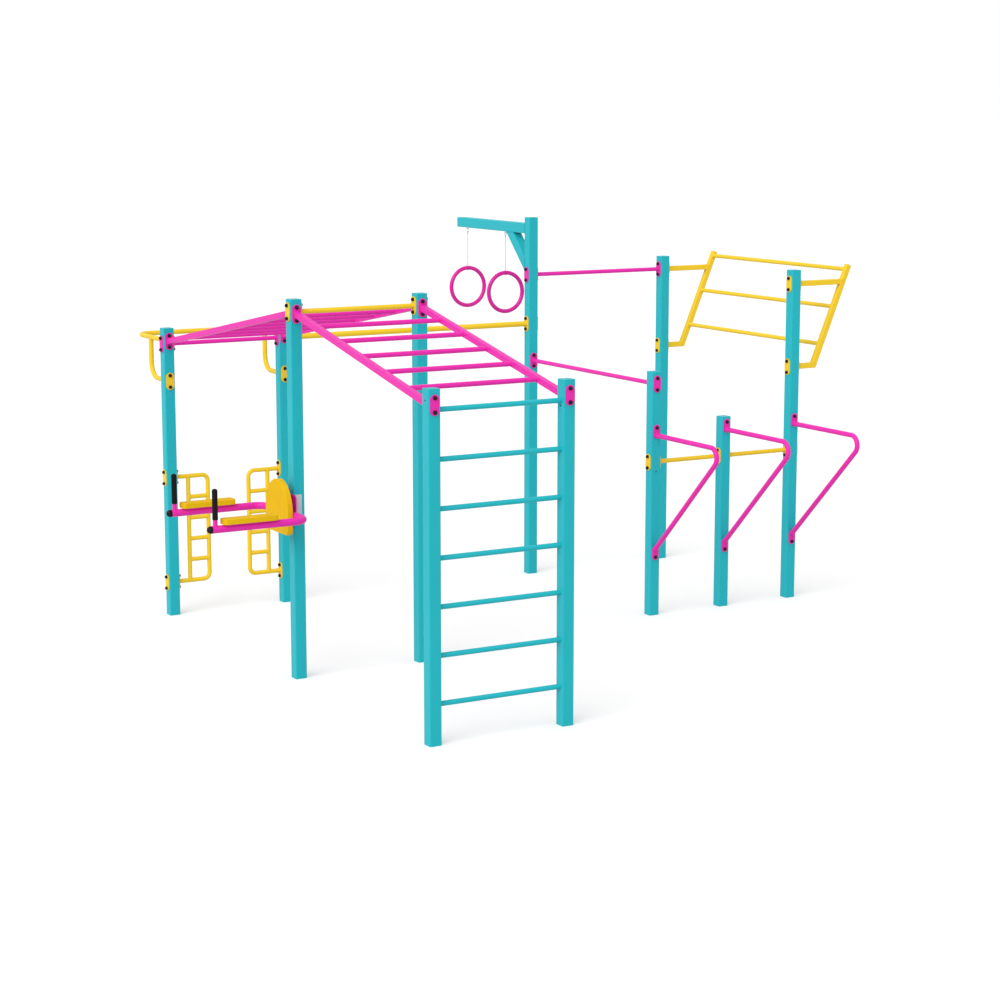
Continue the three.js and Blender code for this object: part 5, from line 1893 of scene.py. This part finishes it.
@dataclass
class KneeSeat(SubAssembly):
    """The knee-raise seat: a U of tube clamped to a post, with a back pad, arm pads, grips and end caps."""

    post: Post
    z: float = 1110.0
    arm_spacing: float = 670.0
    arm_end: float = 735.0
    tube: float = 24.0
    bend: float = 90.0
    closing: float = 79.3
    clamp: Vec2 = (176.0, 200.0)
    clamp_thickness: float = 8.0
    clamp_rise: float = 20.0
    plate_corner: float = 25.0
    seam_inset: float = 8.0
    seam_least_lift: float = 2.0
    nut_plate: Vec2 = (60.0, 190.0)
    nut_plate_corner: float = 8.0
    nut_plate_out: float = 36.7
    nut_plate_thickness: float = 6.0
    rib_height: float = 130.0
    rib_thickness: float = 8.0
    rib_spacing: float = 110.0
    rib_seam_inset: float = 3.0
    bolt_spacing: float = 40.0
    bolt_heights: Vec2 = (1062.0, 1210.0)
    head_height: float = 9.0
    pad_plate: Vec2 = (190.0, 240.0)
    pad_plate_back: float = 100.3
    pad_plate_front: float = 105.3
    plate_edge: float = 1.0
    pad_rise: float = 51.0
    pad_clear: float = 0.3
    back_pad: Vec2 = (340.0, 350.0)
    back_pad_corner: float = 35.0
    back_pad_thickness: float = 40.0
    arch: float = 200.0
    arm_pad: Vec2 = (368.0, 90.0)
    arm_pad_thickness: float = 36.0
    arm_pad_corner: float = 20.0
    arm_pad_middle: float = 482.0
    strip: Vec2 = (320.0, 60.0)
    strip_top: float = 1138.0
    strip_thickness: float = 7.0
    strip_corner: float = 5.0
    strip_seam_inset: float = 10.0
    strip_seam_side: float = 14.0
    strip_seam_foot: float = 18.0
    strip_seam_rise: float = 4.0
    grip_x: float = 712.0
    stub: float = 15.0
    stub_height: float = 62.0
    stub_plug: float = 40.0
    grip: float = 18.0
    grip_length: float = 196.0
    grip_edge: float = 1.0
    grip_cuff: float = 16.0
    grip_ribs: Vec2 = (18.0, 26.0)
    grip_neck: float = 24.0
    grip_top: float = 14.0
    rib_pitch: float = 5.0
    rib_depth: float = 0.7
    cap_length: float = 32.9
    cap_collar: float = 9.0
    cap_edge: float = 0.8
    cap_groove: tuple[float, float, float] = (1.2, 0.8, 0.4)

    @property
    def arms(self) -> dict[str, float]:
        """Where the two arms are along Y."""
        half = self.arm_spacing / 2
        return {"front": self.post.y - half, "rear": self.post.y + half}

    def out_axes(self, rise: float) -> Axes:
        """Axes on the seat's side of the post, this far above the arms."""
        return self.post.at(Face.LEFT, self.z + rise)

    def frame(self) -> list[Shell]:
        """The bent tube with its clamp plate, pad plate, strips, stubs and welds.

        Each plate has two level welds, where the tube's round would meet it or 2 mm from the tube's middle.

        Returns:
            The surfaces of the frame.
        """
        x, y, end, root = self.post.x, self.post.y, self.arm_end, self.closing
        rear, front = self.arms["rear"], self.arms["front"]
        corners = [(x - end, rear), (x - root, rear), (x - root, front), (x - end, front)]
        line = bent_line(raised(np.array(corners), self.z), self.bend)
        shells = [sweep(line, UP, circle(self.tube, sides=32))]
        near = JOINT.seat + self.clamp_thickness
        back, corner = self.pad_plate_back, self.plate_corner
        shells.append(slab(self.out_axes(self.clamp_rise), self.clamp, corner, JOINT.seat, near))
        shells += self.ribs(near)
        pad_axes = self.out_axes(self.pad_rise)
        shells.append(slab(pad_axes, self.pad_plate, corner, back, self.pad_plate_front, self.plate_edge))
        for depth, width in ((near, self.clamp[0]), (back, self.pad_plate[0])):
            lift = math.sqrt(max(self.tube**2 - (depth - self.closing) ** 2, self.seam_least_lift**2))
            reach = width / 2 - self.seam_inset
            for z in (self.z - lift, self.z + lift):
                shells.append(weld_seam((x - depth, y - reach, z), (x - depth, y + reach, z), WELDS.plate))
        for place in self.arms.values():
            shells += self.arm_details(place)
        return shells

    def ribs(self, depth: float) -> list[Shell]:
        """Two upright ribs that hold the tube off the plate, with a weld down each side of them.

        Args:
            depth: how far out the face of the plate is.

        Returns:
            The ribs and their welds.
        """
        x, half, low = self.post.x - depth, self.rib_thickness / 2, self.z - self.rib_height / 2
        foot, top = low + self.rib_seam_inset, low + self.rib_height - self.rib_seam_inset
        back, front = -JOINT.bite, self.closing - depth
        outline = np.array([[back, -half], [front, -half], [front, half], [back, half]])
        shells = []
        for sign in (-1.0, 1.0):
            y = self.post.y + sign * self.rib_spacing / 2
            upright = Axes((x, y, low), Face.LEFT.value, ALONG_Y, UP)
            rings = [upright.put(raised(outline, height)) for height in (0.0, self.rib_height)]
            shells.append(loft(np.array(rings)))
            for side in (y - half, y + half):
                shells.append(weld_seam((x, side, foot), (x, side, top), WELDS.rib))
        return shells

    def arm_details(self, y: float) -> list[Shell]:
        """The strip that a pad sits on, the stub that a grip sits on, and their welds.

        Args:
            y: place of the arm.

        Returns:
            The surfaces of the details.
        """
        middle = self.post.x - self.arm_pad_middle
        low, high = self.strip_top - self.strip_thickness, self.strip_top
        strip_axes = Axes((middle, y, 0.0), ALONG_X, ALONG_Y, UP)
        shells = [slab(strip_axes, self.strip, self.strip_corner, low, high, self.plate_edge)]
        reach = self.strip[0] / 2 - self.strip_seam_inset
        z = self.z + math.sqrt(self.tube**2 - self.strip_seam_foot**2) + self.strip_seam_rise
        for side in (y - self.strip_seam_side, y + self.strip_seam_side):
            shells.append(weld_seam((middle - reach, side, z), (middle + reach, side, z), WELDS.plate))
        stub_axes = Axes((self.post.x - self.grip_x, y, self.z), ALONG_X, ALONG_Y, UP)
        heights = (0.0, self.stub_height + self.stub_plug)
        stub = np.array([stub_axes.put(raised(circle(self.stub), height)) for height in heights])
        return [*shells, loft(stub), bead(saddle_curve(stub_axes, self.stub, self.tube), WELDS.stub)]

    def arched_outline(self, count: int = 240) -> Array:
        """Outline of the back pad, evenly spaced.

        Two quarter circles at the foot, straight sides, and above the shoulder the half ellipse
        (w / 2 cos a, shoulder + arch sin a).

        Args:
            count: how many points to lay.

        Returns:
            The outline, anticlockwise.
        """
        half, low = self.back_pad[0] / 2, -self.back_pad[1] / 2
        corner, shoulder = self.back_pad_corner, self.back_pad[1] / 2 - self.arch
        quarter = quarter_turn(10)
        a = np.linspace(0.0, math.pi, 80)
        across, down = corner * np.cos(quarter), corner * np.sin(quarter)
        left = np.column_stack([corner - half - across, low + corner - down])
        right = np.column_stack([half - corner + down, low + corner - across])
        arch = np.column_stack([half * np.cos(a), shoulder + self.arch * np.sin(a)])
        return even_loop(np.vstack([left, right, arch]), count)

    def pads(self) -> list[Piece]:
        """The back pad and the two arm pads.

        Returns:
            The three pieces.
        """
        back = moulded_pad(
            self.out_axes(self.pad_rise).out(self.pad_plate_front + self.pad_clear),
            self.arched_outline(),
            self.back_pad_thickness,
            edge=6.0,
            crown=1.5,
            ripple=11.0,
            depth=1.2,
        )
        pieces = [Piece("back_pad_moulded", [back], PAD_SKIN, replaces=("back_pad",))]
        outline = even_loop(rounded_rectangle(*self.arm_pad, self.arm_pad_corner, steps=10), count=160)
        x, z = self.post.x - self.arm_pad_middle, self.strip_top + self.pad_clear
        for side, y in self.arms.items():
            axes = Axes((x, y, z), ALONG_X, ALONG_Y, UP)
            pad = moulded_pad(axes, outline, self.arm_pad_thickness, edge=5.0, crown=1.0, ripple=0, depth=0)
            pieces.append(Piece(f"arm_pad_{side}_moulded", [pad], PAD_SKIN, replaces=(f"arm_pad_{side}",)))
        return pieces

    def grip_profile(self) -> Array:
        """Half profile of a grip: a plain cuff, fine ribs and a round top.

        Over the ribbed length the radius is r - depth * (1 - cos(2 pi h / pitch)) / 2.

        Returns:
            Points (radius, height).
        """
        r, end, edge = self.grip, self.grip_length, self.grip_edge
        h = np.arange(self.grip_ribs[0], end - self.grip_ribs[1], self.rib_pitch / 4)
        ribs = np.column_stack([r - self.rib_depth * (1 - np.cos(2 * math.pi * h / self.rib_pitch)) / 2, h])
        t = quarter_turn(9)
        top = np.column_stack([r * np.cos(t), end - self.grip_top * (1 - np.sin(t))])
        foot = [[0.0, 0.0], [r - edge, 0.0], [r, edge], [r, self.grip_cuff]]
        return np.vstack([foot, ribs, [[r, end - self.grip_neck]], top[:-1], [[0.0, end]]])

    def cap_profile(self) -> Array:
        """Half profile of an end cap: a collar, a fine groove, and the crown (r cos t, c + (l - c) sin t).

        The groove's three distances below the top of the collar are its first edge, and the start and the
        end of its floor.

        Returns:
            Points (radius, height).
        """
        r, collar, edge = self.tube, self.cap_collar, self.cap_edge
        start, low, high = (collar - drop for drop in self.cap_groove)
        t = quarter_turn(10)
        crown = np.column_stack([r * np.cos(t), collar + (self.cap_length - collar) * np.sin(t)])
        foot = [[0.0, 0.0], [r - edge, 0.0], [r, edge], [r, start], [r - edge, low], [r - edge, high]]
        return np.vstack([foot, crown[:-1], [[0.0, self.cap_length]]])

    def fittings(self) -> list[Piece]:
        """The grips and the end caps.

        Returns:
            The four pieces.
        """
        pieces = []
        for side, y in self.arms.items():
            grip_axes = Axes((self.post.x - self.grip_x, y, self.z + self.stub_height), ALONG_X, ALONG_Y, UP)
            cap_place = (self.post.x - self.arm_end - self.pad_clear, y, self.z)
            grip = turned(grip_axes, self.grip_profile(), sides=28)
            pieces.append(Piece(f"grip_{side}_ribbed", [grip], GRIP_BLACK, replaces=(f"grip_{side}",)))
            cap = turned(Axes(cap_place, ALONG_Y, UP, Face.LEFT.value), self.cap_profile(), sides=32)
            pieces.append(Piece(f"end_cap_{side}_moulded", [cap], CAP_BLACK, replaces=(f"end_cap_{side}",)))
        return pieces

    def build(self) -> list[Piece]:
        """The frame, the nut plate inside the post, the bolts, the pads, the grips and the caps.

        Returns:
            The pieces.
        """
        outer, inner = self.nut_plate_out, self.nut_plate_out - self.nut_plate_thickness
        nut_plate = slab(self.out_axes(self.clamp_rise), self.nut_plate, self.nut_plate_corner, inner, outer)
        head = JOINT.seat + self.clamp_thickness + self.pad_clear
        places = [(z, sign * self.bolt_spacing / 2) for z in self.bolt_heights for sign in (-1.0, 1.0)]
        bolts = through_bolts(self.post, Face.LEFT, places, head, -inner, self.head_height)
        return [
            Piece("knee_frame_painted", self.frame(), MAGENTA, replaces=("knee_frame",)),
            Piece("knee_nut_plate", [nut_plate], MAGENTA, replaces=("knee_clamp",)),
            Piece("knee_bolts", bolts, CAP_BLACK),
            *self.pads(),
            *self.fittings(),
        ]


# Studio


@dataclass
class Studio:
    """Pale floor, soft light and the camera at the photograph's angle."""

    camera_place: Vec3 = (-8.2976, -14.2874, 3.7790)
    camera_turn_deg: Vec3 = (80.13, 0.0, -29.83)
    lens: float = 83.93
    sensor_width: float = 36.0
    view_limit: float = 500.0
    floor_size: float = 400.0
    ambient: float = 0.66
    key_strength: float = 2.1
    key_turn_deg: Vec3 = (52.0, 0.0, -62.0)
    key_spread_deg: float = 50.0
    fill_strength: float = 0.25
    fill_turn_deg: Vec3 = (58.0, 0.0, 35.0)
    fill_spread_deg: float = 80.0
    floor_tone: float = 0.7
    floor_glow: float = 0.30

    def seen(self, tree: Tree) -> Socket:
        """1 for rays from the camera, from a mirror or through glass, and 0 for the light on the object.

        Args:
            tree: the node tree.

        Returns:
            The socket with that number.
        """
        path = add_node(tree, "ShaderNodeLightPath").outputs
        first = {0: path["Is Camera Ray"], 1: path["Is Glossy Ray"]}
        both = add_node(tree, "ShaderNodeMath", first, operation="ADD", use_clamp=True)
        last = {0: both.outputs[0], 1: path["Is Transmission Ray"]}
        return add_node(tree, "ShaderNodeMath", last, operation="ADD", use_clamp=True).outputs[0]

    def build_world(self) -> None:
        """White where it is seen, and an even soft light on the object."""
        world = bpy.data.worlds.new("studio")
        bpy.context.scene.world = world
        world.use_nodes = True
        tree = world.node_tree
        tree.nodes.clear()
        light = add_node(tree, "ShaderNodeBackground", {"Color": WHITE, "Strength": self.ambient})
        white = add_node(tree, "ShaderNodeBackground", {"Color": WHITE, "Strength": 1.0})
        mix = {0: self.seen(tree), 1: light.outputs[0], 2: white.outputs[0]}
        mixed = add_node(tree, "ShaderNodeMixShader", mix)
        add_node(tree, "ShaderNodeOutputWorld", {"Surface": mixed.outputs[0]})

    def build_floor(self) -> None:
        """A wide pale floor that reads as white and keeps a faint shadow."""
        half = self.floor_size / 2
        mesh = bpy.data.meshes.new("floor")
        corners = [(-half, -half, 0), (half, -half, 0), (half, half, 0), (-half, half, 0)]
        mesh.from_pydata(corners, [], [(0, 1, 2, 3)])
        floor = linked(bpy.data.objects.new("floor", mesh))
        material = bpy.data.materials.new("pale studio floor")
        material.use_nodes = True
        tree = material.node_tree
        tree.nodes.clear()
        matt = add_node(tree, "ShaderNodeBsdfDiffuse", {"Color": (self.floor_tone,) * 3 + (1.0,)})
        glow = add_node(tree, "ShaderNodeEmission", {"Color": WHITE, "Strength": self.floor_glow})
        lit = add_node(tree, "ShaderNodeAddShader", {0: matt.outputs[0], 1: glow.outputs[0]})
        mix = {0: self.seen(tree), 1: matt.outputs[0], 2: lit.outputs[0]}
        mixed = add_node(tree, "ShaderNodeMixShader", mix)
        add_node(tree, "ShaderNodeOutputMaterial", {"Surface": mixed.outputs[0]})
        mesh.materials.append(material)

    def build_lamp(self, name: str, turn_deg: Vec3, strength: float, spread_deg: float) -> None:
        """A wide, soft, even lamp.

        Args:
            name: the lamp's name.
            turn_deg: how it is turned, in degrees.
            strength: its strength.
            spread_deg: how wide it is in the sky.
        """
        data = bpy.data.lights.new(name, "SUN")
        data.energy = strength
        data.angle = math.radians(spread_deg)
        lamp = linked(bpy.data.objects.new(name, data))
        lamp.rotation_euler = [math.radians(turn) for turn in turn_deg]

    def build_camera(self) -> None:
        """The camera at the photograph's place and angle."""
        data = bpy.data.cameras.new("camera")
        data.sensor_width = self.sensor_width
        data.lens = self.lens
        data.clip_end = self.view_limit
        camera = linked(bpy.data.objects.new("camera", data))
        camera.location = self.camera_place
        camera.rotation_euler = [math.radians(turn) for turn in self.camera_turn_deg]
        bpy.context.scene.camera = camera

    def build(self) -> None:
        """The whole studio."""
        self.build_camera()
        self.build_world()
        self.build_floor()
        self.build_lamp("key", self.key_turn_deg, self.key_strength, self.key_spread_deg)
        self.build_lamp("fill", self.fill_turn_deg, self.fill_strength, self.fill_spread_deg)
        bpy.context.scene.view_settings.view_transform = "Standard"
        log.info("studio: floor, two lamps and camera")


# The station


@dataclass(frozen=True)
class Layout:
    """Heights of the bolted joints above the ground, and radii of the straight bars, in millimetres."""

    ladder_high: float = 2396.0
    ladder_low: float = 2023.0
    middle_bar: float = 2408.0
    rear_bar: float = 2002.0
    high_bar: float = 2386.0
    side_bar: float = 1713.0
    low_bar: float = 1138.0
    offset_low: float = 1733.0
    incline_low: float = 1766.0
    bar_radius: float = 16.0
    middle_radius: float = 16.5
    long_radius: float = 21.0


def sub_assemblies(posts: dict[str, Post], at: Layout) -> list[SubAssembly]:
    """Every sub-assembly of the station, in building order.

    Args:
        posts: the posts under their nodes' names.
        at: the heights of the joints and the radii of the bars.

    Returns:
        The sub-assemblies.
    """
    own, loose, other, not_mine = Behind
    rows = ("wall", "bridge", "rear")
    wall, bridge, rear = ([posts[f"post_{row}_{side}"] for side in SIDES] for row in rows)
    tower, incline_rear = posts["ring_gallows"], posts["post_incline_rear"]
    dips = [posts["post_dip_left"], posts["post_dip_middle"], posts["post_incline_front"]]
    gallows = RingGallows(tower)

    def pair(row: Sequence[Post], face: Face, z: float, behind: Behind, stem: str = "") -> list[BoltedEnd]:
        """The same joint on two posts, with its two loose plates' stem if it has any."""
        names = [f"{stem}_{side}" if stem else "" for side in SIDES]
        return [BoltedEnd(post, face, z, behind, name) for post, name in zip(row, names)]

    def bar(node: str, z: float, radius: float, finish: Finish, start: tuple, end: tuple) -> StraightBar:
        """A bar between two joints, each given as its post, its face, what is behind and any loose plate."""
        first, last = (BoltedEnd(post, face, z, *held) for post, face, *held in (start, end))
        return StraightBar(node, first, last, radius, finish)

    return [
        PostRow(posts),
        WallLadder(*wall),
        OverheadLadder(
            "ladder_front",
            pair(bridge, Face.FRONT, at.ladder_high, not_mine),
            pair(wall, Face.BACK, at.ladder_low, loose, "backplate_wall"),
        ),
        OverheadLadder(
            "ladder_rear",
            pair(bridge, Face.BACK, at.ladder_high, other),
            pair(rear, Face.FRONT, at.ladder_low, not_mine),
        ),
        bar(
            "pullup_bar_middle", at.middle_bar, at.middle_radius, YELLOW,
            (bridge[0], Face.RIGHT, loose, "backplate_pullup_middle"), (bridge[1], Face.LEFT, own),
        ),
        bar(
            "cross_bar_rear", at.rear_bar, at.bar_radius, MAGENTA,
            (rear[0], Face.RIGHT, loose, "backplate_cross_bar"), (rear[1], Face.LEFT, other),
        ),
        bar(
            "pullup_bar_rear", at.rear_bar, at.long_radius, YELLOW,
            (rear[1], Face.RIGHT, not_mine), (tower, Face.LEFT, own),
        ),
        OffsetBar(
            "offset_pullup_bar",
            pair(rear, Face.BACK, at.ladder_low, other),
            pair(rear, Face.BACK, at.offset_low, loose, "backplate_offset"),
        ),
        SideLadder("side_ladder_left", rear[0], Face.RIGHT),
        SideLadder("side_ladder_right", rear[1], Face.LEFT),
        gallows,
        RingHanger("outer", gallows),
        RingHanger("inner", gallows),
        bar(
            "high_bar", at.high_bar, at.bar_radius, MAGENTA,
            (tower, Face.RIGHT, loose, "backplate_high_bar"), (incline_rear, Face.LEFT, other),
        ),
        InclinedLadder(
            "inclined_ladder",
            [
                BoltedEnd(incline_rear, Face.RIGHT, at.high_bar, not_mine),
                BoltedEnd(dips[2], Face.RIGHT, at.high_bar, loose, "backplate_incline_front_top"),
            ],
            [
                BoltedEnd(post, Face.RIGHT, at.incline_low, loose, f"backplate_incline_{side}_low")
                for post, side in ((incline_rear, "rear"), (dips[2], "front"))
            ],
        ),
        *[DipBar(f"dip_bar_{name}", post) for name, post in zip(("left", "middle", "right"), dips)],
        bar(
            "low_bar_left", at.low_bar, at.bar_radius, YELLOW,
            (dips[0], Face.RIGHT, own), (dips[1], Face.LEFT, other),
        ),
        bar(
            "low_bar_right", at.low_bar, at.bar_radius, YELLOW,
            (dips[1], Face.RIGHT, not_mine), (dips[2], Face.LEFT, own),
        ),
        bar(
            "side_bar", at.side_bar, at.bar_radius, MAGENTA,
            (dips[0], Face.BACK, loose, "backplate_side_bar"), (tower, Face.FRONT, own),
        ),
        KneeSeat(bridge[0]),
        BlankPlate(bridge[0]),
    ]


def main() -> None:
    """Builds the studio and every sub-assembly."""
    logging.basicConfig(level=logging.INFO, format="%(name)s: %(message)s", stream=sys.stdout)
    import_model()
    Studio().build()
    made = [thing for part in sub_assemblies(read_posts(), Layout()) for thing in part.dress()]
    log.info("%d pieces in all", len(made))


if __name__ == "__main__":
    main()
